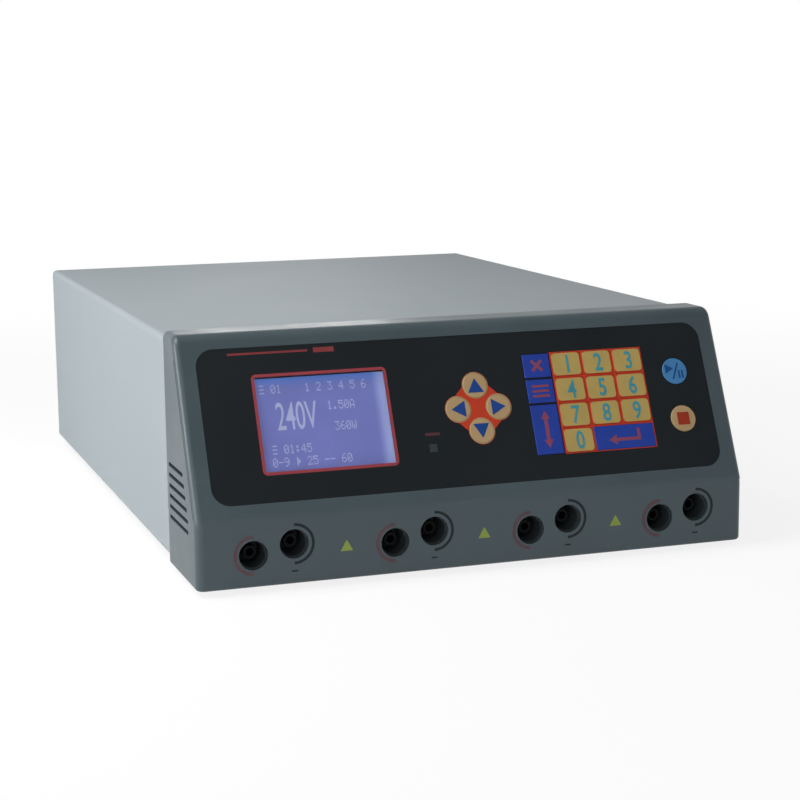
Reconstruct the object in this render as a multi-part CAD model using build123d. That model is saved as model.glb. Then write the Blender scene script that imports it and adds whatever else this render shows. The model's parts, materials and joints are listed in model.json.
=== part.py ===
from build123d import *
import math
import os

# Bench power supply for electrophoresis: a moulded front with a slanted keypad and eight output
# sockets, on a folded sheet-metal case with a fan, a mains inlet and a mains switch at the back.
# Millimetres. X runs to the right seen from the front, Y runs to the back and Z up.
# The origin is under the middle of the box, on the surface that the feet stand on.

# Overall size
WIDTH = 300.0
DEPTH = 428.0
HEIGHT = 125.0

# How far a cut runs past a face, and how far a joined piece is sunk into what it joins
PAST = 1.0
SUNK = 0.5

# Moulded front
GROUND_GAP = 3.0
LOWER_FACE = 33.6
SETBACK = 40.7
BEZEL_DEPTH = 62.5
BEZEL_WALL = 3.0
BEND_ROUND = 14.0
BROW_ROUND = 8.0
FLANK_ROUND = 3.4
CORNER_ROUND = 4.2
BOTTOM_ROUND = 1.8
GROOVE = 0.8
GROOVE_BEHIND = 3.8
TONGUE_WALL = 1.6
TONGUE_LENGTH = 8.0
TONGUE_ROUND = 2.5

# Side vents in the moulded front
VENT_COUNT = 6
VENT_HEIGHT = 2.2
VENT_PITCH = 5.5
VENT_LOWEST = 26.5
VENT_REAR = 58.0
VENT_MARGIN = 16.5
VENT_EASE = 0.65

# Sheet-metal case
SHEET = 1.2
CASE_SIDE_STEP = 0.5
CASE_TOP_STEP = 3.0
CASE_GROUND = 6.0
COVER_BEND = 3.0
COVER_FLANGE = 14.0
EDGE_GAP = 0.3
FIT = 0.3
CHASSIS_SIDE = 14.0
REAR_LIP = 6.0
REAR_FLANGE = 13.0
PANEL_SHEET = 1.5
PANEL_CORNER = 2.0

# Screws and their holes, six-sided to keep the faces few, and the lugs of the moulded front
SCREW_R = 1.5
PILOT_CLEAR = 0.05
BITE = 2.5
LUG_WIDTH = 16.0
LUG_LENGTH = 12.0
LUG_HEIGHT = 9.0
HOLE_CLEAR = 0.3
HEAD_R = 2.9
HEAD_HEIGHT = 1.9

# Rubber feet
FOOT_SIDE_INSET = 31.5
FOOT_INSET = 30.0
FOOT_TOP_R = 9.0
FOOT_BOTTOM_R = 7.6

# Film on the slanted face, measured up the slope from the bend and across from the middle
FILM_MARGIN = 10.0
FILM_BOTTOM = 8.6
FILM_TOP_MARGIN = 7.9
FILM_CORNER = 9.5
FILM = 0.5
FILM_REVEAL = 0.1
FILM_SEAT = 0.02

# Display behind the film
VIEW_WIDTH = 68.3
VIEW_HEIGHT = 49.2
VIEW_U = -76.9
VIEW_V = 48.7
VIEW_CORNER = 1.0
LENS_MARGIN = 3.5
LENS = 1.5
LENS_SHELF = 1.6
LCD_BORDER = 7.0
LCD_THICK = 8.0
LCD_GAP = 0.4
LCD_BOARD_MARGIN = 5.5
LCD_GLASS_SUNK = 0.4
LCD_GLASS_MARGIN = 1.9
LCD_CORNER = 1.0

# Keys
KEY_GAP = 1.2
KEY_PROUD = 0.3
KEY_THICK = 1.1
KEY_EDGE = 0.25
KEY_CLEAR = 0.25
KEY_TRAVEL = 0.4
KEY_FLOOR_CLEAR = 0.2
STEM = 4.0
STEM_CLEAR = 0.4
DOME_CLEAR = 0.5
DOME_HEIGHT = 0.6
DOME_SIZE = 7.0
DOME_TOP = 4.4

# Number block, with its blue column on the left
BLOCK_U = 34.2
BLOCK_V = 21.4
BLUE_COLUMN = 16.3
KEY_PITCH_U = 17.73
KEY_PITCH_V = 13.93

# Arrow keys around their centre, and the two round keys on the right
ARROWS_U = 6.1
ARROWS_V = 49.5
ARROW_OFFSET_U = 11.2
ARROW_OFFSET_V = 12.25
ARROW_R = 6.6
ROUND_GAP = 10.9
RUN_V = 62.3
STOP_V = 35.8
ROUND_R = 7.2

# Status lamp
LAMP_U = -21.8
LAMP_V = 30.1
LAMP_R = 2.4
LAMP_WINDOW = 4.2
LAMP_BASE = 0.4
LAMP_COLLAR = 1.0
LAMP_TIP_R = 1.4
LAMP_TIP = 1.9
LAMP_CLEAR = 0.7

# Boards
BOARD = 1.6
BOARD_DEPTH = 7.0
KEYBOARD_SIDE_MARGIN = 2.0
KEYBOARD_EDGE_MARGIN = 7.0
HOOK_WIDTH = 6.0
HOOK_LEDGE = 2.5
HOOK_ARM = 1.6
HOOK_BARB = 0.8
HOOK_TIP = 2.0
HOOK_CLEAR = 0.3

# Output sockets in the lower face
PAIRS = 4
PAIR_PITCH = 74.0
PLUS_X = -121.2
PLUS_Z = 16.4
PAIR_GAP = 0.45
MINUS_Z = 20.5
SOCKET_WALL = 2.1
WELL_STEP = 0.7
SOCKET_LENGTH = 25.0
SOCKET_WELL_R = 6.8
SOCKET_WELL = 17.0
CONTACT_R = 2.5
CONTACT_BORE_R = 2.0
CONTACT_RECESS = 8.8
CONTACT_BASE = 1.5
CONTACT_SIDES = 8
SLEEVE_LIP = 0.8
SLEEVE_WALL = 0.7
SLEEVE_FIT = 0.05
SLEEVE_SIDES = 12
TAIL_WIDTH = 3.0
TAIL_THICK = 0.8
TAIL = 4.0
TAIL_CLEAR = 0.2
OUTPUT_BOARD_HEIGHT = 29.0
GUIDE_GRIP = 2.0
GUIDE_WALL = 3.0
GUIDE_CLEAR = 0.15
GUIDE_SPACE = 0.9

# Fan on the rear panel
FAN_X = -92.0
FAN_LIFT = 2.6
FAN_SIZE = 80.0
FAN_DEPTH = 25.0
FAN_WALL = 2.0
FAN_HOLE_INSET = 4.25
FAN_POCKET = 0.8
FAN_FLANGE = 3.5
FAN_CORNER = 4.0
HUB_R = 17.0
HUB_WALL = 1.5
BLADES = 7
BLADE_TIP_GAP = 0.9
BLADE_ROOT_CHORD = 15.0
BLADE_TIP_CHORD = 19.0
BLADE_ROOT_PITCH = 55.0
BLADE_TIP_PITCH = 35.0
BLADE_THICK = 1.4
BLADE_CAMBER = 1.6
HUB_EASE = 1.0
ROTOR_SUNK = 2.0
ROTOR_CLEAR = 1.5
SHAFT_SHORT = 1.0
STRUTS = 4
STRUT_START = 20.0
STRUT_WIDTH = 4.0
STRUT_THICK = 2.5
SHAFT_R = 1.5
SHAFT_CLEAR = 0.05
BEARING_R = 4.0
BEARING_LENGTH = 14.0
GUARD_THICK = 1.5
GUARD_RING = 1.8
GUARD_RINGS = 3
GUARD_PITCH = 12.0
GUARD_EDGE = 1.0
GUARD_ARM = 2.4
GUARD_LUG_R = 4.5

# Mains inlet with its fuse drawer
INLET_X = 95.0
INLET_Z = 48.0
INLET_WALL = 1.8
INLET_HEIGHT = 46.0
INLET_DEPTH = 26.0
INLET_RIM = 3.0
INLET_CORNER = 3.0
INLET_FLANGE = 2.4
INLET_DROP = 8.5
CAVITY_WIDTH = 24.4
CAVITY_HEIGHT = 16.6
CAVITY_CHAMFER = 4.0
CAVITY_DEPTH = 17.5
PIN_SPREAD = 7.0
PIN_THICK = 2.0
PIN_TALL = 4.0
PIN_RECESS = 5.0
EARTH_RAISE = 3.0
PIN_TAB = 8.0
PIN_FIT = 0.05
DRAWER_RAISE = 14.0
DRAWER_SIDE = 1.15
DRAWER_HEIGHT = 9.0
DRAWER_LENGTH = 21.0
DRAWER_CLEAR = 0.2
DRAWER_FACE = 1.8
DRAWER_LIP = 1.0
NOTCH_HALF = 4.0
NOTCH_RISE = 1.0
NOTCH_FLOOR = 0.8
FUSE_R = 2.6
FUSE_LENGTH = 20.0
FUSE_CLEAR = 0.15
FUSE_SPACE = 1.0
FUSE_BACK = 1.5

# Mains switch
SWITCH_X = 38.0
SWITCH_Z = 48.0
SWITCH_WIDTH = 20.0
SWITCH_HEIGHT = 28.0
SWITCH_DEPTH = 22.0
SWITCH_RIM = 2.0
SWITCH_CORNER = 1.5
SWITCH_FLANGE = 2.0
SWITCH_WELL_WIDTH = 17.0
SWITCH_WELL_HEIGHT = 24.8
SWITCH_WELL = 14.0
ROCKER_SIDE_CLEAR = 0.3
ROCKER_END_CLEAR = 0.8
ROCKER_TAPER = 1.5
ROCKER_TILT = 9.0
ROCKER_PROUD = 1.6
ROCKER_DISH = 1.2
ROCKER_SKIRT = 3.0
ROCKER_KEEL = 6.0
PIVOT_DEPTH = 1.5
PIVOT_R = 1.5
PIVOT_PIN = 1.1
TAB_WIDTH = 6.3
TAB_THICK = 0.8
TAB_LENGTH = 8.0
TAB_X = 5.0
TAB_Z = 7.0

# Flat cable between the keypad board and the main board, with a plug at each end
RIBBON_X = 0.0
RIBBON_WIDTH = 20.0
RIBBON = 0.9
RIBBON_V = 24.0
RIBBON_RUN = 33.0
RIBBON_BEND = 8.0
RIBBON_RISE = 13.0
PLUG_SIDE = 2.0
PLUG_THICK = 6.0
PLUG_HEIGHT = 7.0
PLUG_INSET = 7.0

# Power board and what stands on it
POWER_LEFT_GAP = 20.0
POWER_RIGHT = 62.0
POWER_FRONT = 92.0
POWER_BACK_GAP = 48.5
STANDOFF = 8.0
STANDOFF_R = 3.2
STANDOFF_INSET = 7.0
CORE_WIDTH = 56.0
CORE_DEPTH = 22.0
CORE_HEIGHT = 54.0
CORE_LIMB = 9.5
CORE_Y = 275.0
CORE_X = -40.0
WINDING_GAP = 0.3
WINDING_BULGE = 9.0
CAN_R = 15.0
CAN_HEIGHT = 46.0
CAN_EASE = 1.5
CAN_PITCH = 34.0
CAN_X = 36.0
CAN_Y = 230.0
CANS = 3
SINK_LENGTH = 120.0
SINK_HEIGHT = 50.0
SINK_BASE = 4.0
SINK_FIN = 20.0
SINK_FIN_THICK = 1.6
SINK_FINS = 7
SINK_X = (-112.0, -72.0)
SINK_Y = 180.0
DEVICE_WIDTH = 16.0
DEVICE_HEIGHT = 21.0
DEVICE_THICK = 5.0
DEVICE_RAISE = 14.0
DEVICE_PITCH = 36.0
DEVICES = 3
DEVICE_EASE = 1.0
LEG_PITCH = 5.4
LEG = 1.2
CHOKE_X = 20.0
CHOKE_Y = 150.0
CHOKE_R = 21.0
CHOKE_BORE_R = 10.0
CHOKE_HEIGHT = 18.0
FILTER_X = 96.0
FILTER_BACK_GAP = 58.5
FILTER_WIDTH = 50.0
FILTER_LENGTH = 64.0
FILTER_HEIGHT = 28.0
FILTER_LUG = 8.0
FILTER_LUG_THICK = 1.0
FILTER_LUG_INSET = 8.0
FILTER_ROUND = 3.0

# Places worked out from the sizes above
FRONT = -DEPTH / 2
BACK = DEPTH / 2
JOINT = FRONT + BEZEL_DEPTH
BEND = GROUND_GAP + LOWER_FACE
RISE = HEIGHT - BEND
SLOPE = math.hypot(SETBACK, RISE)
CASE_HALF = WIDTH / 2 - CASE_SIDE_STEP
CASE_TOP = HEIGHT - CASE_TOP_STEP
COVER_FRONT = JOINT + EDGE_GAP
INNER_HALF = CASE_HALF - SHEET - FIT
FLOOR_UNDER = CASE_GROUND + SHEET
FLOOR_TOP = FLOOR_UNDER + SHEET
INNER_TOP = CASE_TOP - SHEET - FIT
PANEL_OUT = BACK - REAR_LIP
PANEL_IN = PANEL_OUT - PANEL_SHEET
HOLE_R = SCREW_R + HOLE_CLEAR
FOOT_X = CASE_HALF - FOOT_SIDE_INSET
POWER_LEFT = -INNER_HALF + POWER_LEFT_GAP
POWER_BACK = PANEL_IN - POWER_BACK_GAP
POWER_TOP = FLOOR_TOP + STANDOFF + BOARD
FILTER_Y = PANEL_IN - FILTER_BACK_GAP - FILTER_LENGTH / 2
FILM_WIDTH = WIDTH - 2 * FILM_MARGIN
FILM_TOP = SLOPE - FILM_TOP_MARGIN
BLOCK_WIDTH = BLUE_COLUMN + 3 * KEY_PITCH_U
BLOCK_HEIGHT = 4 * KEY_PITCH_V
ROUND_U = BLOCK_U + BLOCK_WIDTH + ROUND_GAP + ROUND_R
SOCKET_R = SOCKET_WELL_R + SOCKET_WALL
WELL_R = SOCKET_WELL_R + WELL_STEP
SOCKET_CORNER = SOCKET_R / math.cos(math.pi / 6)
MINUS_X = PLUS_X + 2 * SOCKET_CORNER + PAIR_GAP
LAST_SOCKET = MINUS_X + (PAIRS - 1) * PAIR_PITCH
OUTPUT_BOARD_HALF = LAST_SOCKET + SOCKET_CORNER + GUIDE_SPACE + GUIDE_GRIP
SOCKET_BACK = FRONT + BEZEL_WALL + SOCKET_LENGTH
FAN_Z = FLOOR_TOP + REAR_FLANGE + FAN_LIFT + FAN_SIZE / 2
FAN_BORE_R = FAN_SIZE / 2 - FAN_WALL
FAN_HOLES = FAN_SIZE - 2 * FAN_HOLE_INSET
DRAWER_WIDTH = FUSE_LENGTH + 2 * (FUSE_CLEAR + DRAWER_SIDE + DRAWER_CLEAR)
INLET_WIDTH = max(CAVITY_WIDTH, DRAWER_WIDTH) + 2 * INLET_WALL
SWITCH_FACE = PANEL_OUT + SWITCH_FLANGE
KEYBOARD_LEFT = LAMP_U - LAMP_R - LAMP_BASE - KEYBOARD_SIDE_MARGIN
KEYBOARD_RIGHT = ROUND_U + ROUND_R + KEYBOARD_SIDE_MARGIN
KEYBOARD_BOTTOM = BLOCK_V - KEYBOARD_EDGE_MARGIN
KEYBOARD_TOP = BLOCK_V + BLOCK_HEIGHT + KEYBOARD_EDGE_MARGIN

# The slanted face: u runs right, v up the slope and w outwards, all from the middle of the bend
PANEL = Plane(
    origin=(0, FRONT, BEND),
    x_dir=(1, 0, 0),
    z_dir=(0, -RISE / SLOPE, SETBACK / SLOPE),
)
FILM_BACK = -FILM_REVEAL - FILM
RECESS_FLOOR = FILM_BACK - FILM_SEAT
KEY_TOP = -FILM_REVEAL + KEY_PROUD
KEY_BACK = KEY_TOP - KEY_THICK
POCKET_FLOOR = KEY_BACK - KEY_TRAVEL - KEY_FLOOR_CLEAR
BOARD_FACE = -BOARD_DEPTH
LCD_FACE = -BEZEL_WALL - LCD_GAP
LCD_BOARD_FACE = LCD_FACE - LCD_THICK

STANDING = (Align.CENTER, Align.CENTER, Align.MIN)


def slab(x0, x1, y0, y1, z0, z1):
    """A block between two opposite corners."""
    centre = Pos((x0 + x1) / 2, (y0 + y1) / 2, (z0 + z1) / 2)
    return centre * Box(x1 - x0, y1 - y0, z1 - z0)


def rod(radius, y0, y1, x, z):
    """A round bar that runs from front to back."""
    return Pos(x, y0, z) * Rot(-90, 0, 0) * Cylinder(radius, y1 - y0, align=STANDING)


def bore(radius, length, x, y, z):
    """A screw's upright hole, six-sided like its shank, centred on a point."""
    return Pos(x, y, z - length / 2) * extrude(RegularPolygon(radius, 6), length)


def level_bore(radius, y0, y1, x, z):
    """A screw's hole from front to back, six-sided like its shank."""
    return Pos(x, y0, z) * Rot(-90, 0, 0) * extrude(RegularPolygon(radius, 6), y1 - y0)


def turned(*outline):
    """A solid of revolution about Z, from (radius, height) corners."""
    return revolve(Plane.XZ * make_face(Polyline(*outline, close=True)), Axis.Z)


def across(outline, half_width):
    """A closed (y, z) outline drawn out to both sides of the middle."""
    return extrude(Plane.YZ * make_face(Polyline(*outline, close=True)), half_width, both=True)


def plate(width, height, u, v, w0, w1, corner=0.0):
    """A flat piece on the slanted face, between two depths."""
    if corner > 0:
        shape = RectangleRounded(width, height, corner)
    else:
        shape = Rectangle(width, height)
    return PANEL * Pos(u, v, w0) * extrude(shape, w1 - w0)


def disc(radius, u, v, w0, w1):
    """A round piece square to the slanted face, between two depths."""
    return PANEL * Pos(u, v, w0) * Cylinder(radius, w1 - w0, align=STANDING)


def screw(length):
    """A screw that points down, its head's underside at the origin and its shank six-sided."""
    head = extrude(RegularPolygon(HEAD_R, 6), HEAD_HEIGHT)
    shank = Pos(0, 0, -length) * extrude(RegularPolygon(SCREW_R, 6), length)
    return head + shank


def rear_screw(length, x, z, y_seat):
    """A screw driven forwards from the back, with its head's underside at y_seat."""
    return Pos(x, y_seat, z) * Rot(-90, 0, 0) * screw(length)


def rising_screw(length, x, y, z_seat):
    """A screw driven upwards from below, with its head's underside at z_seat."""
    return Pos(x, y, z_seat) * Rot(180, 0, 0) * screw(length)


def key_places():
    """Every key: its node's name, its centre on the slanted face, its size, and its radius if round."""
    keys = []
    row = [BLOCK_V + KEY_PITCH_V * k for k in range(5)]
    column = [BLOCK_U + BLUE_COLUMN + KEY_PITCH_U * k for k in range(4)]
    for digit in range(1, 10):
        u0 = column[(digit - 1) % 3]
        v0 = row[3 - (digit - 1) // 3]
        keys.append((f"key_{digit}", u0, v0, KEY_PITCH_U, KEY_PITCH_V))
    keys.append(("key_0", column[0], row[0], KEY_PITCH_U, KEY_PITCH_V))
    keys.append(("key_enter", column[1], row[0], 2 * KEY_PITCH_U, KEY_PITCH_V))
    keys.append(("key_blue_upper", BLOCK_U, row[3], BLUE_COLUMN, KEY_PITCH_V))
    keys.append(("key_blue_middle", BLOCK_U, row[2], BLUE_COLUMN, KEY_PITCH_V))
    keys.append(("key_blue_tall", BLOCK_U, row[0], BLUE_COLUMN, 2 * KEY_PITCH_V))
    places = []
    for name, u0, v0, width, height in keys:
        centre = (u0 + width / 2, v0 + height / 2)
        places.append((name, centre, (width - KEY_GAP, height - KEY_GAP), None))
    for name, du, dv in (
        ("key_up", 0, ARROW_OFFSET_V),
        ("key_down", 0, -ARROW_OFFSET_V),
        ("key_left", -ARROW_OFFSET_U, 0),
        ("key_right", ARROW_OFFSET_U, 0),
    ):
        places.append((name, (ARROWS_U + du, ARROWS_V + dv), None, ARROW_R))
    places.append(("key_run", (ROUND_U, RUN_V), None, ROUND_R))
    places.append(("key_stop", (ROUND_U, STOP_V), None, ROUND_R))
    return places


def socket_places():
    """The centres of the output sockets in the lower face, plus and minus, as (x, z)."""
    plus = [(PLUS_X + PAIR_PITCH * k, GROUND_GAP + PLUS_Z) for k in range(PAIRS)]
    minus = [(MINUS_X + PAIR_PITCH * k, GROUND_GAP + MINUS_Z) for k in range(PAIRS)]
    return plus, minus


def keyboard_hook_places():
    """The snap hooks at the keypad board's lower and upper edges: u, v of the edge, and the way out."""
    left = KEYBOARD_LEFT + HOOK_WIDTH
    right = KEYBOARD_RIGHT - HOOK_WIDTH
    middle = (ARROWS_U + ARROW_OFFSET_U + BLOCK_U) / 2
    edges = ((KEYBOARD_BOTTOM, -1), (KEYBOARD_TOP, 1))
    return [(u, v, out) for u in (left, middle, right) for v, out in edges]


def lcd_size():
    """The width and height of the display module's metal frame."""
    return VIEW_WIDTH + 2 * LCD_BORDER, VIEW_HEIGHT + 2 * LCD_BORDER


def lcd_hook_places():
    """The snap hooks at the display board's lower and upper edges."""
    width, height = lcd_size()
    du = width / 3
    dv = height / 2 + LCD_BOARD_MARGIN
    return [(VIEW_U + su * du, VIEW_V + out * dv, out) for su in (-1, 1) for out in (-1, 1)]


def bezel_lug_places():
    """The lugs at the foot of the moulded front that stand on the chassis floor, as (x, y)."""
    return [(x, JOINT + TONGUE_LENGTH / 2 + LUG_LENGTH / 2) for x in (-PAIR_PITCH, PAIR_PITCH)]


def cover_screw_places():
    """The screws that hold the cover's flanges under the chassis floor, as (x, y)."""
    x = CASE_HALF - COVER_FLANGE / 2
    ys = (COVER_FRONT + 2 * COVER_FLANGE, PANEL_IN - 2 * COVER_FLANGE)
    return [(side * x, y) for side in (-1, 1) for y in ys]


def foot_places():
    """The four rubber feet, as (x, y)."""
    return [(sx * FOOT_X, y) for sx in (-1, 1) for y in (JOINT + FOOT_INSET, BACK - FOOT_INSET)]


def fan_hole_places():
    """The fan's corner holes, as (x, z)."""
    half = FAN_HOLES / 2
    return [(FAN_X + sx * half, FAN_Z + sz * half) for sx in (-1, 1) for sz in (-1, 1)]


def standoff_places():
    """The pillars under the power board, as (x, y)."""
    xs = (POWER_LEFT + STANDOFF_INSET, POWER_RIGHT - STANDOFF_INSET)
    ys = (FRONT + POWER_FRONT + STANDOFF_INSET, POWER_BACK - STANDOFF_INSET)
    return [(x, y) for x in xs for y in ys]


def bezel_shell():
    """The moulded front's outer form, hollowed to an even wall and open at the back."""
    half = WIDTH / 2
    bend = (FRONT, BEND)
    brow = (FRONT + SETBACK, HEIGHT)
    outline = make_face(
        Polyline((FRONT, GROUND_GAP), bend, brow, (JOINT, HEIGHT), (JOINT, GROUND_GAP), close=True)
    )
    inside = offset(outline, -BEZEL_WALL, kind=Kind.INTERSECTION)
    rounded = fillet(outline.vertices().sort_by_distance(bend)[0], BEND_ROUND)
    rounded = fillet(rounded.vertices().sort_by_distance(brow)[0], BROW_ROUND)
    whole = extrude(Plane.YZ * rounded, half, both=True)
    level = Plane.XY.offset(BEND)
    lower = split(whole, bisect_by=level, keep=Keep.BOTTOM)
    corners = lower.edges().filter_by(
        lambda e: abs(abs(e.center().X) - half) < 0.01 and e.center().Y < FRONT + 1
    )
    lower = fillet(corners, CORNER_ROUND)
    rim = lower.edges().group_by(Axis.Z)[0].filter_by(lambda e: e.center().Y < JOINT - 0.01)
    lower = fillet(rim, BOTTOM_ROUND)
    upper = split(whole, bisect_by=level, keep=Keep.TOP)
    flanks = upper.edges().filter_by(
        lambda e: abs(abs(e.center().X) - half) < 0.01
        and e.center().Z > BEND + 0.01
        and e.center().Y < JOINT - 0.01
    )
    upper = fillet(flanks, FLANK_ROUND)
    return lower + upper - extrude(Plane.YZ * inside, half - BEZEL_WALL, both=True)


def bezel_tongue():
    """The rim at the back of the moulded front that slips inside the case, and the hole through it."""
    width = 2 * INNER_HALF
    height = INNER_TOP - FLOOR_TOP - FIT
    middle = Pos(0, (INNER_TOP + FLOOR_TOP + FIT) / 2)
    ring = Plane.XZ * middle * RectangleRounded(width, height, TONGUE_ROUND)
    hole_shape = RectangleRounded(
        width - 2 * TONGUE_WALL, height - 2 * TONGUE_WALL, TONGUE_ROUND - TONGUE_WALL
    )
    hole = Plane.XZ * middle * hole_shape
    tongue = Pos(0, JOINT + TONGUE_LENGTH, 0) * extrude(ring, TONGUE_LENGTH + BEZEL_WALL / 2)
    passage = Pos(0, JOINT + TONGUE_LENGTH + PAST, 0) * extrude(hole, TONGUE_LENGTH + 2 * BEZEL_WALL)
    return tongue, passage


def side_vents():
    """The slots through both side walls of the moulded front, their front ends along the slope."""
    depth = BEZEL_WALL + 2 * PAST
    cuts = []
    for k in range(VENT_COUNT):
        z = GROUND_GAP + VENT_LOWEST + VENT_PITCH * k
        lean = max(z - BEND, 0) * SETBACK / RISE
        y0 = FRONT + lean + VENT_MARGIN
        y1 = FRONT + VENT_REAR
        slot = Rectangle(y1 - y0, VENT_HEIGHT)
        slot = Pos((y0 + y1) / 2, z) * chamfer(slot.vertices(), VENT_EASE)
        for side in (-1, 1):
            inner = WIDTH / 2 - depth if side > 0 else -WIDTH / 2 - PAST
            cuts.append(Pos(inner, 0, 0) * extrude(Plane.YZ * slot, depth + PAST))
    return cuts


def snap_hook(u, v, out, board_face):
    """A moulded hook behind the slanted wall: a ledge for a board's edge, and a barb behind it."""
    wall = SUNK - BEZEL_WALL
    back = board_face - BOARD
    arm = HOOK_CLEAR + HOOK_ARM
    outline = (
        (-HOOK_LEDGE, wall),
        (arm, wall),
        (arm, back - HOOK_CLEAR - HOOK_TIP),
        (HOOK_CLEAR, back - HOOK_CLEAR - HOOK_TIP),
        (-HOOK_BARB, back - HOOK_CLEAR),
        (HOOK_CLEAR, back - HOOK_CLEAR),
        (HOOK_CLEAR, board_face),
        (-HOOK_LEDGE, board_face),
    )
    points = [(out * dv, w) for dv, w in outline]
    return PANEL * Pos(u, v, 0) * across(points, HOOK_WIDTH / 2)


def board_guide(side):
    """The slotted rib that holds one end of the output board."""
    end = OUTPUT_BOARD_HALF
    face = SOCKET_BACK
    z0 = GROUND_GAP + BEZEL_WALL / 2
    z1 = GROUND_GAP + BEZEL_WALL + OUTPUT_BOARD_HEIGHT
    inner = end - GUIDE_GRIP
    outer = end + GUIDE_WALL
    clear = GUIDE_CLEAR
    y1 = face + BOARD + GUIDE_WALL
    rib = slab(inner, outer, FRONT + BEZEL_WALL / 2, y1, z0, z1)
    y0 = face - clear
    y1 = face + BOARD + clear
    rib -= slab(inner - PAST, end + clear, y0, y1, z0 - PAST, z1 + PAST)
    return rib if side > 0 else mirror(rib, about=Plane.YZ)


def front_bezel():
    """The moulded front with its recess, key pockets, socket holes, vents, bosses and tongue."""
    tongue, passage = bezel_tongue()
    body = bezel_shell() + tongue - passage
    added = []
    cuts = side_vents()
    film_height = FILM_TOP - FILM_BOTTOM
    film_v = (FILM_TOP + FILM_BOTTOM) / 2
    cuts.append(plate(FILM_WIDTH, film_height, 0, film_v, RECESS_FLOOR, PAST, FILM_CORNER))
    for side in (-1, 1):
        u = side * WIDTH / 2
        groove = Box(2 * GROOVE, SLOPE - 4 * GROOVE_BEHIND, GROOVE)
        cuts.append(PANEL * Pos(u, SLOPE / 2 - GROOVE_BEHIND, -GROOVE_BEHIND) * groove)
    under = -BEZEL_WALL - PAST
    lens_width = VIEW_WIDTH + 2 * LENS_MARGIN
    lens_height = VIEW_HEIGHT + 2 * LENS_MARGIN
    shelf = RECESS_FLOOR - LENS - FILM_SEAT
    cuts.append(plate(lens_width, lens_height, VIEW_U, VIEW_V, shelf, 0))
    opening_width = lens_width - 2 * LENS_SHELF
    opening_height = lens_height - 2 * LENS_SHELF
    cuts.append(plate(opening_width, opening_height, VIEW_U, VIEW_V, under, 0))
    block_u = BLOCK_U + BLOCK_WIDTH / 2
    block_v = BLOCK_V + BLOCK_HEIGHT / 2
    cuts.append(plate(BLOCK_WIDTH, BLOCK_HEIGHT, block_u, block_v, POCKET_FLOOR, 0))
    hole = STEM + 2 * STEM_CLEAR
    for name, (u, v), size, radius in key_places():
        if radius:
            side = 2 * (radius + KEY_CLEAR)
            cuts.append(plate(side, side, u, v, POCKET_FLOOR, 0))
        cuts.append(plate(hole, hole, u, v, under, 0))
    lamp_hole = 2 * (LAMP_R + HOLE_CLEAR)
    cuts.append(plate(lamp_hole, lamp_hole, LAMP_U, LAMP_V, under, 0))
    plus, minus = socket_places()
    for x, z in plus + minus:
        cuts.append(rod(WELL_R, FRONT - PAST, FRONT + BEZEL_WALL + PAST, x, z))
    for u, v, out in keyboard_hook_places():
        added.append(snap_hook(u, v, out, BOARD_FACE))
    for u, v, out in lcd_hook_places():
        added.append(snap_hook(u, v, out, LCD_BOARD_FACE))
    added += [board_guide(side) for side in (-1, 1)]
    lug_base = FLOOR_TOP + FIT
    for x, y in bezel_lug_places():
        lug = Box(LUG_WIDTH, LUG_LENGTH, LUG_HEIGHT, align=STANDING)
        added.append(Pos(x, y, lug_base) * lug)
        cuts.append(bore(SCREW_R + PILOT_CLEAR, 2 * (LUG_HEIGHT - 2 * PAST), x, y, lug_base))
    for piece in added:
        body += piece
    for cut in cuts:
        body -= cut
    return body


def membrane_overlay():
    """The printed film, with a window for the display, the lamp and each key."""
    slack = 2 * FILM_SEAT
    film_width = FILM_WIDTH - slack
    film_height = FILM_TOP - FILM_BOTTOM - slack
    middle = (FILM_TOP + FILM_BOTTOM) / 2
    film = plate(film_width, film_height, 0, middle, FILM_BACK, -FILM_REVEAL, FILM_CORNER)
    w0 = FILM_BACK - PAST
    film -= plate(VIEW_WIDTH, VIEW_HEIGHT, VIEW_U, VIEW_V, w0, PAST, VIEW_CORNER)
    film -= plate(LAMP_WINDOW, LAMP_WINDOW, LAMP_U, LAMP_V, w0, PAST)
    for name, (u, v), size, radius in key_places():
        if radius:
            film -= disc(radius + KEY_CLEAR, u, v, w0, PAST)
        else:
            width, height = size
            film -= plate(width + 2 * KEY_CLEAR, height + 2 * KEY_CLEAR, u, v, w0, PAST)
    return film


def key(centre, size, radius):
    """One key: a cap with eased edges, and the stem that reaches its snap dome."""
    u, v = centre
    if radius:
        cap = disc(radius, u, v, KEY_BACK, KEY_TOP)
    else:
        cap = plate(size[0], size[1], u, v, KEY_BACK, KEY_TOP)
    face = cap.faces().sort_by(lambda f: f.center().dot(PANEL.z_dir))[-1]
    cap = chamfer(face.edges(), KEY_EDGE)
    stem_end = BOARD_FACE + DOME_HEIGHT + DOME_CLEAR
    return cap + plate(STEM, STEM, u, v, stem_end, KEY_BACK + KEY_EDGE)


def snap_domes():
    """A square spring dome under each key's stem, on the keypad board."""
    foot = Rectangle(DOME_SIZE, DOME_SIZE)
    top = Pos(0, 0, DOME_HEIGHT) * Rectangle(DOME_TOP, DOME_TOP)
    dome = loft([foot.face(), top.face()], ruled=True)
    return [PANEL * Pos(u, v, BOARD_FACE) * dome for name, (u, v), size, radius in key_places()]


def keypad_board():
    """The board behind the keys, held by the snap hooks of the slanted wall."""
    width = KEYBOARD_RIGHT - KEYBOARD_LEFT
    height = KEYBOARD_TOP - KEYBOARD_BOTTOM
    u = (KEYBOARD_LEFT + KEYBOARD_RIGHT) / 2
    v = (KEYBOARD_BOTTOM + KEYBOARD_TOP) / 2
    return plate(width, height, u, v, BOARD_FACE - BOARD, BOARD_FACE)


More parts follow.
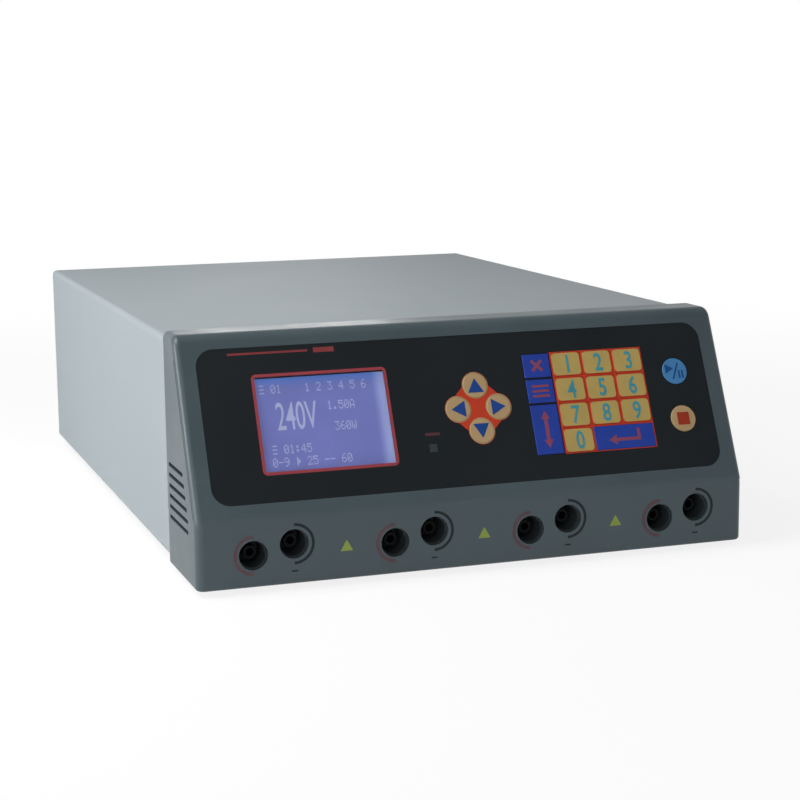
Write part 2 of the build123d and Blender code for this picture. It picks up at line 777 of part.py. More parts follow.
def lcd_lens():
    """The clear window in its shelf behind the film."""
    width = VIEW_WIDTH + 2 * LENS_MARGIN - 2 * KEY_CLEAR
    height = VIEW_HEIGHT + 2 * LENS_MARGIN - 2 * KEY_CLEAR
    return plate(width, height, VIEW_U, VIEW_V, RECESS_FLOOR - LENS, RECESS_FLOOR)


def lcd_module():
    """The graphic display: a glass with its metal frame, on its own board."""
    width, height = lcd_size()
    frame = plate(width, height, VIEW_U, VIEW_V, LCD_BOARD_FACE, LCD_FACE, LCD_CORNER)
    glass = LCD_FACE - LCD_GLASS_SUNK
    glass_width = VIEW_WIDTH + 2 * LCD_GLASS_MARGIN
    glass_height = VIEW_HEIGHT + 2 * LCD_GLASS_MARGIN
    frame -= plate(glass_width, glass_height, VIEW_U, VIEW_V, glass, PAST)
    margin = 2 * LCD_BOARD_MARGIN
    board = plate(
        width + margin, height + margin, VIEW_U, VIEW_V, LCD_BOARD_FACE - BOARD, LCD_BOARD_FACE
    )
    return frame + board


def status_led():
    """The lamp: a domed body that stands on the keypad board and looks through the film."""
    collar = BOARD_FACE + LAMP_COLLAR
    tip = RECESS_FLOOR - LAMP_CLEAR
    body = turned(
        (0, BOARD_FACE),
        (LAMP_R + LAMP_BASE, BOARD_FACE),
        (LAMP_R + LAMP_BASE, collar),
        (LAMP_R, collar),
        (LAMP_R, tip - LAMP_TIP),
        (LAMP_TIP_R, tip),
        (0, tip),
    )
    return PANEL * Pos(LAMP_U, LAMP_V, 0) * body


def tail_slot(grow):
    """A contact's solder tail in the XZ plane, grown by a clearance."""
    return Rectangle(TAIL_WIDTH + 2 * grow, TAIL_THICK + 2 * grow)


def sockets(places):
    """Six-sided insulating bodies behind the socket holes, each with a deep well for a shrouded plug."""
    body = extrude(RegularPolygon(SOCKET_R, 6, major_radius=False), SOCKET_LENGTH)
    body -= Cylinder(SOCKET_WELL_R, 2 * SOCKET_WELL)
    body -= extrude(tail_slot(TAIL_CLEAR), 2 * SOCKET_LENGTH)
    return [Pos(x, FRONT + BEZEL_WALL, z) * Rot(-90, 0, 0) * body for x, z in places]


def contact_tube(radius, start, end):
    """A many-sided bar behind a socket hole, given by its half width across the flats."""
    shape = RegularPolygon(radius, CONTACT_SIDES, major_radius=False)
    return Pos(0, 0, start) * extrude(shape, end - start)


def socket_contacts():
    """The plated tubes that the plugs' pins enter, each with a flat tail through the output board."""
    foot = BEZEL_WALL + SOCKET_WELL
    rear = BEZEL_WALL + SOCKET_LENGTH + BOARD + TAIL
    contact = contact_tube(CONTACT_R, CONTACT_RECESS, foot)
    contact -= contact_tube(CONTACT_BORE_R, 0, foot - CONTACT_BASE)
    contact += Pos(0, 0, foot - CONTACT_BASE / 2) * extrude(tail_slot(0), rear - foot)
    plus, minus = socket_places()
    return [Pos(x, FRONT, z) * Rot(-90, 0, 0) * contact for x, z in plus + minus]


def contact_sleeves():
    """The insulating sleeves over the contacts, open only where a pin goes in."""
    foot = BEZEL_WALL + SOCKET_WELL
    mouth = CONTACT_RECESS - SLEEVE_LIP
    inner = CONTACT_R + SLEEVE_FIT
    outer = inner / math.cos(math.pi / CONTACT_SIDES) + SLEEVE_WALL
    sleeve = Pos(0, 0, mouth) * extrude(RegularPolygon(outer, SLEEVE_SIDES), foot - mouth)
    sleeve -= contact_tube(inner, CONTACT_RECESS, foot + PAST)
    sleeve -= contact_tube(CONTACT_BORE_R, 0, foot)
    plus, minus = socket_places()
    return [Pos(x, FRONT, z) * Rot(-90, 0, 0) * sleeve for x, z in plus + minus]


def output_board():
    """The upright board behind the sockets, with a slot for each contact's tail."""
    y = SOCKET_BACK
    z = GROUND_GAP + BEZEL_WALL
    board = slab(-OUTPUT_BOARD_HALF, OUTPUT_BOARD_HALF, y, y + BOARD, z, z + OUTPUT_BOARD_HEIGHT)
    plus, minus = socket_places()
    for x, hole_z in plus + minus:
        slot = Plane.XZ * Pos(x, hole_z) * tail_slot(TAIL_CLEAR)
        board -= Pos(0, y + BOARD + PAST, 0) * extrude(slot, BOARD + 2 * PAST)
    return board


def folded_section(half_width, bottom, top, thickness, bend):
    """A folded sheet's closed ring section in the XZ plane, with rounded bends."""
    width = 2 * half_width
    height = top - bottom
    middle = Pos(0, (top + bottom) / 2)
    outer = RectangleRounded(width, height, bend)
    inner = RectangleRounded(width - 2 * thickness, height - 2 * thickness, bend - thickness)
    return middle * (outer - inner)


def drawn_back(section, y0, y1):
    """A section in the XZ plane drawn out from y0 to y1."""
    return Pos(0, y1, 0) * extrude(Plane.XZ * section, y1 - y0)


def top_cover():
    """The folded cover: top, both sides and a flange under each side."""
    section = folded_section(CASE_HALF, CASE_GROUND, CASE_TOP, SHEET, COVER_BEND)
    mouth = Pos(0, CASE_GROUND) * Rectangle(2 * (CASE_HALF - COVER_FLANGE), 4 * SHEET)
    cover = drawn_back(section - mouth, COVER_FRONT, BACK)
    for x, y in cover_screw_places():
        cover -= bore(HOLE_R, 4 * SHEET, x, y, CASE_GROUND)
    return cover


def bottom_chassis():
    """The folded floor tray with upturned sides and rear flange, and every screw hole in it."""
    bend = COVER_BEND - SHEET
    tall = FLOOR_UNDER + 2 * CHASSIS_SIDE
    section = folded_section(INNER_HALF, FLOOR_UNDER, tall, SHEET, bend)
    section -= Pos(0, tall) * Rectangle(2 * (INNER_HALF + PAST), 2 * CHASSIS_SIDE)
    y1 = PANEL_IN
    side_y0 = JOINT + TONGUE_LENGTH + 2 * FIT
    tray = drawn_back(section, COVER_FRONT, y1)
    clear = 2 * SHEET
    for side in (-1, 1):
        x = side * INNER_HALF
        tray -= slab(x - clear, x + clear, COVER_FRONT - PAST, side_y0, FLOOR_TOP, tall)
    inner = INNER_HALF - SHEET
    tray += slab(-inner, inner, y1 - SHEET, y1, FLOOR_UNDER + SHEET / 2, FLOOR_TOP + REAR_FLANGE)
    for x, y in cover_screw_places() + bezel_lug_places():
        tray -= bore(HOLE_R, 4 * SHEET, x, y, FLOOR_UNDER)
    for x, z in panel_screw_places():
        tray -= level_bore(SCREW_R + PILOT_CLEAR, y1 - 2 * SHEET, y1 + PAST, x, z)
    return tray


def panel_screw_places():
    """The screws through the rear panel's foot into the chassis flange, as (x, z)."""
    z = FLOOR_TOP + REAR_FLANGE / 2
    return [(x, z) for x in (-INNER_HALF + REAR_FLANGE, INNER_HALF - REAR_FLANGE)]


def rear_panel():
    """The rear panel with the openings of the fan, the mains inlet and the switch."""
    width = 2 * INNER_HALF
    height = INNER_TOP - FLOOR_TOP
    section = Pos(0, (INNER_TOP + FLOOR_TOP) / 2) * RectangleRounded(width, height, PANEL_CORNER)
    panel = drawn_back(section, PANEL_IN, PANEL_OUT)
    y0 = PANEL_IN - PAST
    y1 = PANEL_OUT + PAST
    panel -= rod(FAN_BORE_R, y0, y1, FAN_X, FAN_Z)
    for x, z in fan_hole_places() + panel_screw_places():
        panel -= level_bore(HOLE_R, y0, y1, x, z)
    for x, z, w, h in (
        (INLET_X, INLET_Z, INLET_WIDTH, INLET_HEIGHT),
        (SWITCH_X, SWITCH_Z, SWITCH_WIDTH, SWITCH_HEIGHT),
    ):
        dx = w / 2 + FIT / 2
        dz = h / 2 + FIT / 2
        panel -= slab(x - dx, x + dx, y0, y1, z - dz, z + dz)
    return panel


def case_screws():
    """The screws of the cover, the moulded front, and the rear panel's foot."""
    cover = [rising_screw(2 * SHEET + BITE, x, y, CASE_GROUND) for x, y in cover_screw_places()]
    front = [rising_screw(SHEET + 2 * BITE, x, y, FLOOR_UNDER) for x, y in bezel_lug_places()]
    through = PANEL_SHEET + SHEET + BITE
    rear = [rear_screw(through, x, z, PANEL_OUT) for x, z in panel_screw_places()]
    return cover, front, rear


def rubber_feet():
    """Four tapered rubber feet, bonded under the chassis floor."""
    foot = turned((0, 0), (FOOT_BOTTOM_R, 0), (FOOT_TOP_R, FLOOR_UNDER), (0, FLOOR_UNDER))
    return [Pos(x, y, 0) * foot for x, y in foot_places()]


def power_board():
    """The main board, on pillars above the chassis floor."""
    y0 = FRONT + POWER_FRONT
    board = slab(POWER_LEFT, POWER_RIGHT, y0, POWER_BACK, POWER_TOP - BOARD, POWER_TOP)
    for x, y in standoff_places():
        board -= bore(HOLE_R, 4 * BOARD, x, y, POWER_TOP)
    return board


def ribbon_cable():
    """The flat cable in an easy curve over the output board, with a plug on each board."""
    half = RIBBON_WIDTH / 2 + PLUG_SIDE
    plug_back = BOARD_FACE - BOARD
    start = PANEL * Pos(0, RIBBON_V, plug_back - PLUG_HEIGHT)
    bend = PANEL * Pos(0, RIBBON_V, plug_back - PLUG_HEIGHT - RIBBON_RUN)
    y = FRONT + POWER_FRONT + PLUG_INSET
    end = POWER_TOP + PLUG_HEIGHT
    points = [
        (start.position.Y, start.position.Z),
        (bend.position.Y, bend.position.Z),
        (y, end + RIBBON_RISE),
        (y, end),
    ]
    strip = trace(FilletPolyline(*points, radius=RIBBON_BEND), RIBBON)
    cable = Pos(RIBBON_X, 0, 0) * extrude(Plane.YZ * strip, RIBBON_WIDTH / 2, both=True)
    upper = plate(2 * half, PLUG_THICK, RIBBON_X, RIBBON_V, plug_back - PLUG_HEIGHT, plug_back)
    y0 = y - PLUG_THICK / 2
    lower = slab(RIBBON_X - half, RIBBON_X + half, y0, y0 + PLUG_THICK, POWER_TOP, end)
    return [cable, upper, lower]


def board_standoffs():
    """Hexagonal pillars between the chassis floor and the main board."""
    pillar = extrude(RegularPolygon(STANDOFF_R, 6), STANDOFF)
    pillar -= bore(SCREW_R + PILOT_CLEAR, 3 * STANDOFF, 0, 0, STANDOFF)
    return [Pos(x, y, FLOOR_TOP) * pillar for x, y in standoff_places()]


def board_screws():
    """The screws through the main board into its pillars."""
    return [Pos(x, y, POWER_TOP) * screw(BOARD + 2 * BITE) for x, y in standoff_places()]


def transformer():
    """The switching transformer: a ferrite core of two E halves, and the winding on its middle leg."""
    y0 = CORE_Y - CORE_DEPTH / 2 + FRONT
    y1 = CORE_Y + CORE_DEPTH / 2 + FRONT
    base = POWER_TOP + WINDING_GAP
    half = CORE_WIDTH / 2
    leg = CORE_LIMB
    core = slab(CORE_X - half, CORE_X + half, y0, y1, base, base + CORE_HEIGHT)
    for side in (-1, 1):
        inner = side * leg
        outer = side * (half - leg)
        x0 = CORE_X + min(inner, outer)
        x1 = CORE_X + max(inner, outer)
        core -= slab(x0, x1, y0 - PAST, y1 + PAST, base + leg, base + CORE_HEIGHT - leg)
    gap = WINDING_GAP
    winding_height = CORE_HEIGHT - 2 * leg - 2 * gap
    length = CORE_DEPTH + 2 * WINDING_BULGE
    coil = RectangleRounded(2 * (half - leg - gap), length, WINDING_BULGE)
    coil -= Rectangle(2 * (leg + gap), CORE_DEPTH + 2 * gap)
    winding = Pos(CORE_X, CORE_Y + FRONT, base + leg + gap) * extrude(coil, winding_height)
    return core, winding


def bulk_capacitors():
    """The tall storage capacitors, each with an eased top."""
    can = turned(
        (0, 0),
        (CAN_R, 0),
        (CAN_R, CAN_HEIGHT - CAN_EASE),
        (CAN_R - CAN_EASE, CAN_HEIGHT),
        (0, CAN_HEIGHT),
    )
    return [Pos(CAN_X, FRONT + CAN_Y + CAN_PITCH * k, POWER_TOP) * can for k in range(CANS)]


def sink_facing(x):
    """Which way a heat sink's fins point: away from the other sink."""
    return -1 if x == min(SINK_X) else 1


def heatsinks():
    """Two finned extrusions that stand on the main board, back to back with the devices between."""
    sinks = []
    for x in SINK_X:
        face = sink_facing(x)
        comb = Rectangle(SINK_BASE, SINK_LENGTH)
        pitch = (SINK_LENGTH - SINK_FIN_THICK) / (SINK_FINS - 1)
        for k in range(SINK_FINS):
            y = -SINK_LENGTH / 2 + SINK_FIN_THICK / 2 + pitch * k
            fin_middle = face * (SINK_BASE + SINK_FIN - SUNK) / 2
            comb += Pos(fin_middle, y) * Rectangle(SINK_FIN + SUNK, SINK_FIN_THICK)
        sinks.append(Pos(x, FRONT + SINK_Y, POWER_TOP) * extrude(comb, SINK_HEIGHT))
    return sinks


def power_devices():
    """The power transistors clamped to the flat sides of the heat sinks, their legs on the board."""
    devices = []
    for x in SINK_X:
        face = -sink_facing(x)
        x0 = x + face * SINK_BASE / 2
        x1 = x0 + face * DEVICE_THICK
        for k in range(DEVICES):
            y = FRONT + SINK_Y + DEVICE_PITCH * (k - (DEVICES - 1) / 2)
            z = POWER_TOP + DEVICE_RAISE
            body = Box(DEVICE_THICK, DEVICE_WIDTH, DEVICE_HEIGHT, align=STANDING)
            body = chamfer(body.edges().filter_by(Axis.Y).group_by(Axis.Z)[-1], DEVICE_EASE)
            device = Pos((x0 + x1) / 2, y, z) * body
            for j in (-1, 0, 1):
                leg = Box(LEG, LEG, DEVICE_RAISE + SUNK, align=STANDING)
                device += Pos((x0 + x1) / 2, y + j * LEG_PITCH, POWER_TOP) * leg
            devices.append(device)
    return devices


def output_choke():
    """The ring-shaped output choke, lying on the main board."""
    ring = Cylinder(CHOKE_R, CHOKE_HEIGHT, align=STANDING)
    ring -= Cylinder(CHOKE_BORE_R, 3 * CHOKE_HEIGHT)
    return Pos(CHOKE_X, FRONT + CHOKE_Y, POWER_TOP) * ring


def line_filter():
    """The mains filter can, on the chassis floor with a lug at each end."""
    x0 = FILTER_X - FILTER_WIDTH / 2
    x1 = FILTER_X + FILTER_WIDTH / 2
    y0 = FILTER_Y - FILTER_LENGTH / 2
    y1 = FILTER_Y + FILTER_LENGTH / 2
    can = slab(x0, x1, y0, y1, FLOOR_TOP, FLOOR_TOP + FILTER_HEIGHT)
    can = fillet(can.edges().filter_by(Axis.Y).group_by(Axis.Z)[-1], FILTER_ROUND)
    inset = FILTER_LUG_INSET
    top = FLOOR_TOP + FILTER_LUG_THICK
    return can + slab(x0 + inset, x1 - inset, y0 - FILTER_LUG, y1 + FILTER_LUG, FLOOR_TOP, top)


def fan_frame():
    """The fan's frame: a square duct with closed corners, pockets in its sides, struts and bearing tube."""
    y0 = PANEL_IN - FAN_DEPTH
    frame = extrude(RectangleRounded(FAN_SIZE, FAN_SIZE, FAN_CORNER), FAN_DEPTH)
    pocket_width = FAN_HOLES - 4 * HOLE_R - FAN_HOLE_INSET
    for turn in range(0, 360, 90):
        pocket = Box(2 * FAN_POCKET, pocket_width, FAN_DEPTH - 2 * FAN_FLANGE)
        frame -= Rot(0, 0, turn) * Pos(FAN_SIZE / 2, 0, FAN_DEPTH / 2) * pocket
    frame -= Cylinder(FAN_BORE_R, 3 * FAN_DEPTH)
    half = FAN_HOLES / 2
    for sx in (-1, 1):
        for sy in (-1, 1):
            frame -= bore(HOLE_R, 3 * FAN_DEPTH, sx * half, sy * half, 0)
    plate_r = HUB_R - HUB_EASE
    for k in range(STRUTS):
        strut = Box(FAN_BORE_R - plate_r + 2 * SUNK, STRUT_WIDTH, STRUT_THICK, align=STANDING)
        strut = Pos((FAN_BORE_R + plate_r) / 2, 0, 0) * strut
        frame += Rot(0, 0, STRUT_START + 360 / STRUTS * k) * strut
    frame += Cylinder(plate_r, STRUT_THICK, align=STANDING)
    frame += Cylinder(BEARING_R, BEARING_LENGTH, align=STANDING)
    frame -= Cylinder(SHAFT_R + SHAFT_CLEAR, 3 * FAN_DEPTH)
    return Pos(FAN_X, y0, FAN_Z) * Rot(-90, 0, 0) * frame


def blade_section(chord, pitch, x):
    """A cambered blade section in a plane square to X, turned to its pitch."""
    half = chord / 2
    thin = BLADE_THICK / 2
    rise = BLADE_CAMBER
    low = ThreePointArc((-half, -thin), (0, rise - thin), (half, -thin))
    nose = Line((half, -thin), (half, thin))
    high = ThreePointArc((half, thin), (0, rise + thin), (-half, thin))
    tail = Line((-half, thin), (-half, -thin))
    face = make_face([low, nose, high, tail])
    return Plane.YZ.offset(x) * Rot(0, 0, pitch) * face


def fan_rotor():
    """The rotor: a cup-shaped hub with its shaft and twisted, cambered blades."""
    back = FAN_DEPTH - ROTOR_SUNK
    front = STRUT_THICK + ROTOR_CLEAR
    hub = turned(
        (0, back),
        (HUB_R - HUB_EASE, back),
        (HUB_R, back - HUB_EASE),
        (HUB_R, front),
        (HUB_R - HUB_WALL, front),
        (HUB_R - HUB_WALL, back - HUB_WALL),
        (SHAFT_R, back - HUB_WALL),
        (SHAFT_R, SHAFT_SHORT),
        (0, SHAFT_SHORT),
    )
    root_x = HUB_R - HUB_WALL / 2
    tip_half = BLADE_TIP_CHORD / 2 * math.cos(math.radians(BLADE_TIP_PITCH))
    tip_x = math.sqrt((FAN_BORE_R - BLADE_TIP_GAP) ** 2 - tip_half**2)
    root = blade_section(BLADE_ROOT_CHORD, BLADE_ROOT_PITCH, root_x)
    tip = blade_section(BLADE_TIP_CHORD, BLADE_TIP_PITCH, tip_x)
    middle = (front + back) / 2
    blade = Pos(0, 0, middle) * loft([root, tip])
    rotor = hub
    for k in range(BLADES):
        rotor += Rot(0, 0, 360 / BLADES * k) * blade
    return Pos(FAN_X, PANEL_IN - FAN_DEPTH, FAN_Z) * Rot(-90, 0, 0) * rotor


def finger_guard():
    """The stamped finger guard over the fan opening: rings on four arms, with a lug at each screw."""
    reach = FAN_HOLES / 2 * math.sqrt(2)
    shape = None
    inner = FAN_BORE_R - GUARD_EDGE - (GUARD_RINGS - 1) * GUARD_PITCH
    for k in range(GUARD_RINGS):
        radius = inner + GUARD_PITCH * k
        ring = Circle(radius + GUARD_RING / 2) - Circle(radius - GUARD_RING / 2)
        shape = ring if shape is None else shape + ring
    for turn in (45, 135):
        arm = Rectangle(2 * reach, GUARD_ARM) - Circle(inner - GUARD_RING / 2)
        shape += Rot(0, 0, turn) * arm
    half = FAN_HOLES / 2
    for sx in (-1, 1):
        for sy in (-1, 1):
            shape += Pos(sx * half, sy * half) * Circle(GUARD_LUG_R)
            shape -= Pos(sx * half, sy * half) * RegularPolygon(HOLE_R, 6)
    return Pos(FAN_X, PANEL_OUT, FAN_Z) * Rot(-90, 0, 0) * extrude(shape, GUARD_THICK)


def fan_screws():
    """The four screws through the guard and the rear panel into the fan's corner holes."""
    length = GUARD_THICK + PANEL_SHEET + FAN_FLANGE + BITE
    seat = PANEL_OUT + GUARD_THICK
    return [rear_screw(length, x, z, seat) for x, z in fan_hole_places()]


def iec_inlet():
    """The mains inlet: flange and housing, with the plug's cavity below and the drawer's slot above."""
    front = PANEL_OUT
    face = PANEL_OUT + INLET_FLANGE
    rim = INLET_RIM
    dx = INLET_WIDTH / 2
    dz = INLET_HEIGHT / 2
    rear = PANEL_OUT - INLET_DEPTH
    body = slab(INLET_X - dx, INLET_X + dx, rear, front + SUNK, INLET_Z - dz, INLET_Z + dz)
    flange = RectangleRounded(INLET_WIDTH + 2 * rim, INLET_HEIGHT + 2 * rim, INLET_CORNER)
    body += drawn_back(Pos(INLET_X, INLET_Z) * flange, front, face)
    w = CAVITY_WIDTH / 2
    h = CAVITY_HEIGHT / 2
    c = CAVITY_CHAMFER
    cavity = make_face(
        Polyline((-w, -h), (w, -h), (w, h - c), (w - c, h), (c - w, h), (-w, h - c), close=True)
    )
    z = INLET_Z - INLET_DROP
    body -= drawn_back(Pos(INLET_X, z) * cavity, face - CAVITY_DEPTH, face + PAST)
    slot_z = INLET_Z + DRAWER_RAISE
    dx = DRAWER_WIDTH / 2
    dz = DRAWER_HEIGHT / 2
    slot_back = PANEL_OUT - DRAWER_LENGTH - PAST
    body -= slab(INLET_X - dx, INLET_X + dx, slot_back, face + PAST, slot_z - dz, slot_z + dz)
    for x0, x1, z0, z1 in pin_boxes(PIN_FIT):
        body -= slab(x0, x1, rear - PAST, face, z0, z1)
    return body


def pin_boxes(grow):
    """The three blades of the inlet in the XZ plane, grown by a clearance."""
    z = INLET_Z - INLET_DROP
    boxes = []
    for dx, dz in ((-PIN_SPREAD, -EARTH_RAISE / 2), (PIN_SPREAD, -EARTH_RAISE / 2), (0, EARTH_RAISE)):
        half_x = PIN_THICK / 2 + grow
        half_z = PIN_TALL / 2 + grow
        x = INLET_X + dx
        boxes.append((x - half_x, x + half_x, z + dz - half_z, z + dz + half_z))
    return boxes


def inlet_pins():
    """The line, neutral and earth blades, through the housing to their tabs."""
    tip = PANEL_OUT + INLET_FLANGE - PIN_RECESS
    rear = PANEL_OUT - INLET_DEPTH - PIN_TAB
    return [slab(x0, x1, rear, tip, z0, z1) for x0, x1, z0, z1 in pin_boxes(0)]


def fuse_rows():
    """The two fuses' axes in the drawer, as (y, z)."""
    z = INLET_Z + DRAWER_RAISE
    pitch = 2 * (FUSE_R + FUSE_CLEAR) + FUSE_SPACE
    y = PANEL_OUT - DRAWER_LENGTH / 2 - FUSE_BACK
    return [(y - pitch / 2, z), (y + pitch / 2, z)]


def fuse_drawer():
    """The drawer that slides out of the inlet, with a cradle for two fuses and a finger lip."""
    z = INLET_Z + DRAWER_RAISE
    dx = DRAWER_WIDTH / 2 - DRAWER_CLEAR
    dz = DRAWER_HEIGHT / 2 - DRAWER_CLEAR
    face = PANEL_OUT + INLET_FLANGE
    y0 = PANEL_OUT - DRAWER_LENGTH
    outer = face + DRAWER_FACE
    drawer = slab(INLET_X - dx, INLET_X + dx, y0, face + SUNK, z - dz, z + dz)
    wide = dx + DRAWER_LIP
    tall = dz + DRAWER_LIP
    drawer += slab(INLET_X - wide, INLET_X + wide, face, outer, z - tall, z + tall)
    notch = slab(-NOTCH_HALF, NOTCH_HALF, face + NOTCH_FLOOR, outer + PAST, dz - NOTCH_RISE, tall + PAST)
    drawer -= Pos(INLET_X, 0, z) * notch
    radius = FUSE_R + FUSE_CLEAR
    half = FUSE_LENGTH / 2 + FUSE_CLEAR
    for y, axis_z in fuse_rows():
        bed = Pos(INLET_X, y, axis_z) * Rot(0, 90, 0) * Cylinder(radius, 2 * half)
        drawer -= bed
        mouth = slab(-half, half, y - radius, y + radius, axis_z, z + dz + PAST)
        drawer -= Pos(INLET_X, 0, 0) * mouth
    return drawer


def fuses():
    """The working fuse and the spare."""
    fuse = Rot(0, 90, 0) * Cylinder(FUSE_R, FUSE_LENGTH)
    return [Pos(INLET_X, y, z) * fuse for y, z in fuse_rows()]


def switch_housing():
    """The mains switch's housing: flange, well for the rocker, pivot holes and rear tabs."""
    x = SWITCH_X
    z = SWITCH_Z
    rim = SWITCH_RIM
    face = SWITCH_FACE
    rear = PANEL_OUT - SWITCH_DEPTH
    dx = SWITCH_WIDTH / 2
    dz = SWITCH_HEIGHT / 2
    body = slab(x - dx, x + dx, rear, PANEL_OUT + SUNK, z - dz, z + dz)
    flange = RectangleRounded(SWITCH_WIDTH + 2 * rim, SWITCH_HEIGHT + 2 * rim, SWITCH_CORNER)
    body += drawn_back(Pos(x, z) * flange, PANEL_OUT, face)
    dx = SWITCH_WELL_WIDTH / 2
    dz = SWITCH_WELL_HEIGHT / 2
    body -= slab(x - dx, x + dx, face - SWITCH_WELL, face + PAST, z - dz, z + dz)
    reach = dx + PIVOT_PIN + HOLE_CLEAR
    hole = Cylinder(PIVOT_R + SHAFT_CLEAR, 2 * reach)
    body -= Pos(x, face - PIVOT_DEPTH - PIVOT_R, z) * Rot(0, 90, 0) * hole
    for tx in (-TAB_X, TAB_X):
        for tz in (-TAB_Z, TAB_Z):
            tab = Box(TAB_WIDTH, TAB_LENGTH + PAST, TAB_THICK)
            body += Pos(x + tx, rear + PAST - (TAB_LENGTH + PAST) / 2, z + tz) * tab
    return body


def switch_rocker():
    """The rocker, tilted to off at rest: a dished cap with its keel and two pivot pins."""
    end = SWITCH_WELL_HEIGHT / 2 - ROCKER_END_CLEAR
    foot = end - ROCKER_TAPER
    crown = ROCKER_PROUD + PIVOT_R
    outline = (
        (crown, -end),
        (crown - ROCKER_DISH, 0),
        (crown, end),
        (-ROCKER_SKIRT, foot),
        (-ROCKER_KEEL, 0),
        (-ROCKER_SKIRT, -foot),
    )
    half = SWITCH_WELL_WIDTH / 2 - ROCKER_SIDE_CLEAR
    rocker = across(outline, half)
    rocker += Rot(0, 90, 0) * Cylinder(PIVOT_R, 2 * (half + ROCKER_SIDE_CLEAR + PIVOT_PIN))
    place = Pos(SWITCH_X, SWITCH_FACE - PIVOT_DEPTH - PIVOT_R, SWITCH_Z)
    return place * Rot(ROCKER_TILT, 0, 0) * rocker


def save(name, *pieces):
    """Write a node's solids to its file."""
    solids = [s for piece in pieces for s in piece.solids()]
    shape = solids[0] if len(solids) == 1 else Compound(solids)
    export_step(shape, f"parts/{name}.step")


def main():
    """Build every node and write it."""
    os.makedirs("parts", exist_ok=True)
    save("front_bezel", front_bezel())
    save("membrane_overlay", membrane_overlay())
    save("lcd_lens", lcd_lens())
    save("lcd_module", lcd_module())
    save("status_led", status_led())
    for name, centre, size, radius in key_places():
        save(name, key(centre, size, radius))
    save("snap_domes", *snap_domes())
    save("keypad_board", keypad_board())
    plus, minus = socket_places()
    save("plus_sockets", *sockets(plus))
    save("minus_sockets", *sockets(minus))
    save("socket_contacts", *socket_contacts())
    save("contact_sleeves", *contact_sleeves())
    save("output_board", output_board())
    save("top_cover", top_cover())
    save("bottom_chassis", bottom_chassis())
    save("rear_panel", rear_panel())
    cover, front, rear = case_screws()
    save("cover_screws", *cover)
    save("bezel_screws", *front)
    save("rear_panel_screws", *rear)
    save("rubber_feet", *rubber_feet())
    save("power_board", power_board())
    save("ribbon_cable", *ribbon_cable())
    save("board_standoffs", *board_standoffs())
    save("board_screws", *board_screws())
    core, winding = transformer()
    save("transformer_core", core)
    save("transformer_winding", winding)
    save("bulk_capacitors", *bulk_capacitors())
    save("heatsinks", *heatsinks())
    save("power_transistors", *power_devices())
    save("output_choke", output_choke())
    save("line_filter", line_filter())
    save("fan_frame", fan_frame())
    save("fan_rotor", fan_rotor())
    save("finger_guard", finger_guard())
    save("fan_screws", *fan_screws())
    save("iec_inlet", iec_inlet())
    save("inlet_pins", *inlet_pins())
    save("fuse_drawer", fuse_drawer())
    save("fuses", *fuses())
    save("switch_housing", switch_housing())
    save("switch_rocker", switch_rocker())


main()
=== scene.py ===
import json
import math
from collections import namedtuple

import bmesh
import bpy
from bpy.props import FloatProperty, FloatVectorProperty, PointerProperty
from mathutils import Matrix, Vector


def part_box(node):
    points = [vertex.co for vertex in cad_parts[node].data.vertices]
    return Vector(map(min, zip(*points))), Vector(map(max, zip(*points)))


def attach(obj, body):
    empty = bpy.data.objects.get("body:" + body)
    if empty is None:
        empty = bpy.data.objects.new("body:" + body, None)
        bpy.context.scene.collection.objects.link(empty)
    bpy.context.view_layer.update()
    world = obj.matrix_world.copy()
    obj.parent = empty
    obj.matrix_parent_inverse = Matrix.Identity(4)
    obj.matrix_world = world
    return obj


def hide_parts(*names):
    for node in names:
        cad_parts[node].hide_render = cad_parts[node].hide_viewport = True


bl_info = {
    "name": "Bench power supply",
    "version": (1, 0, 0),
    "blender": (4, 5, 0),
    "location": "3D View > Sidebar > Power Supply",
    "description": "Finishes, printed marks and small parts of an electrophoresis power supply",
    "category": "Object",
}

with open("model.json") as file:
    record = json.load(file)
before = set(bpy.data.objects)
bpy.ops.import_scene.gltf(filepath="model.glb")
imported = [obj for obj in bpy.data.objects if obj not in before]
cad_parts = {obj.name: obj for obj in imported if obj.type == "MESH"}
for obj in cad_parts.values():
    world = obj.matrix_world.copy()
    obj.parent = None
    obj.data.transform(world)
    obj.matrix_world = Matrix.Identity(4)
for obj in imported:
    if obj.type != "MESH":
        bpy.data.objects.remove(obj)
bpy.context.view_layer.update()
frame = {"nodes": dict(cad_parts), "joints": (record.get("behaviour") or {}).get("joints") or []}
NODES = frame["nodes"]
MM = 0.001


def as_colour(code):
    """A web colour such as 808080 as linear red, green, blue and alpha."""
    parts = [int(code[k : k + 2], 16) / 255 for k in (0, 2, 4)]
    linear = [p / 12.92 if p <= 0.04045 else ((p + 0.055) / 1.055) ** 2.4 for p in parts]
    return (*linear, 1.0)


def length(label, description, millimetres):
    """A size that a user may change, written in millimetres."""
    return FloatProperty(
        name=label, description=description, default=millimetres * MM, min=0.0, unit="LENGTH", precision=5
    )


def angle(label, description, degrees):
    """An angle that a user may change, written in degrees."""
    return FloatProperty(
        name=label, description=description, default=math.radians(degrees), unit="ROTATION"
    )


def colour(label, description, code):
    """A colour that a user may change."""
    return FloatVectorProperty(
        name=label, description=description, default=as_colour(code), size=4, min=0.0, max=1.0,
        subtype="COLOR",
    )


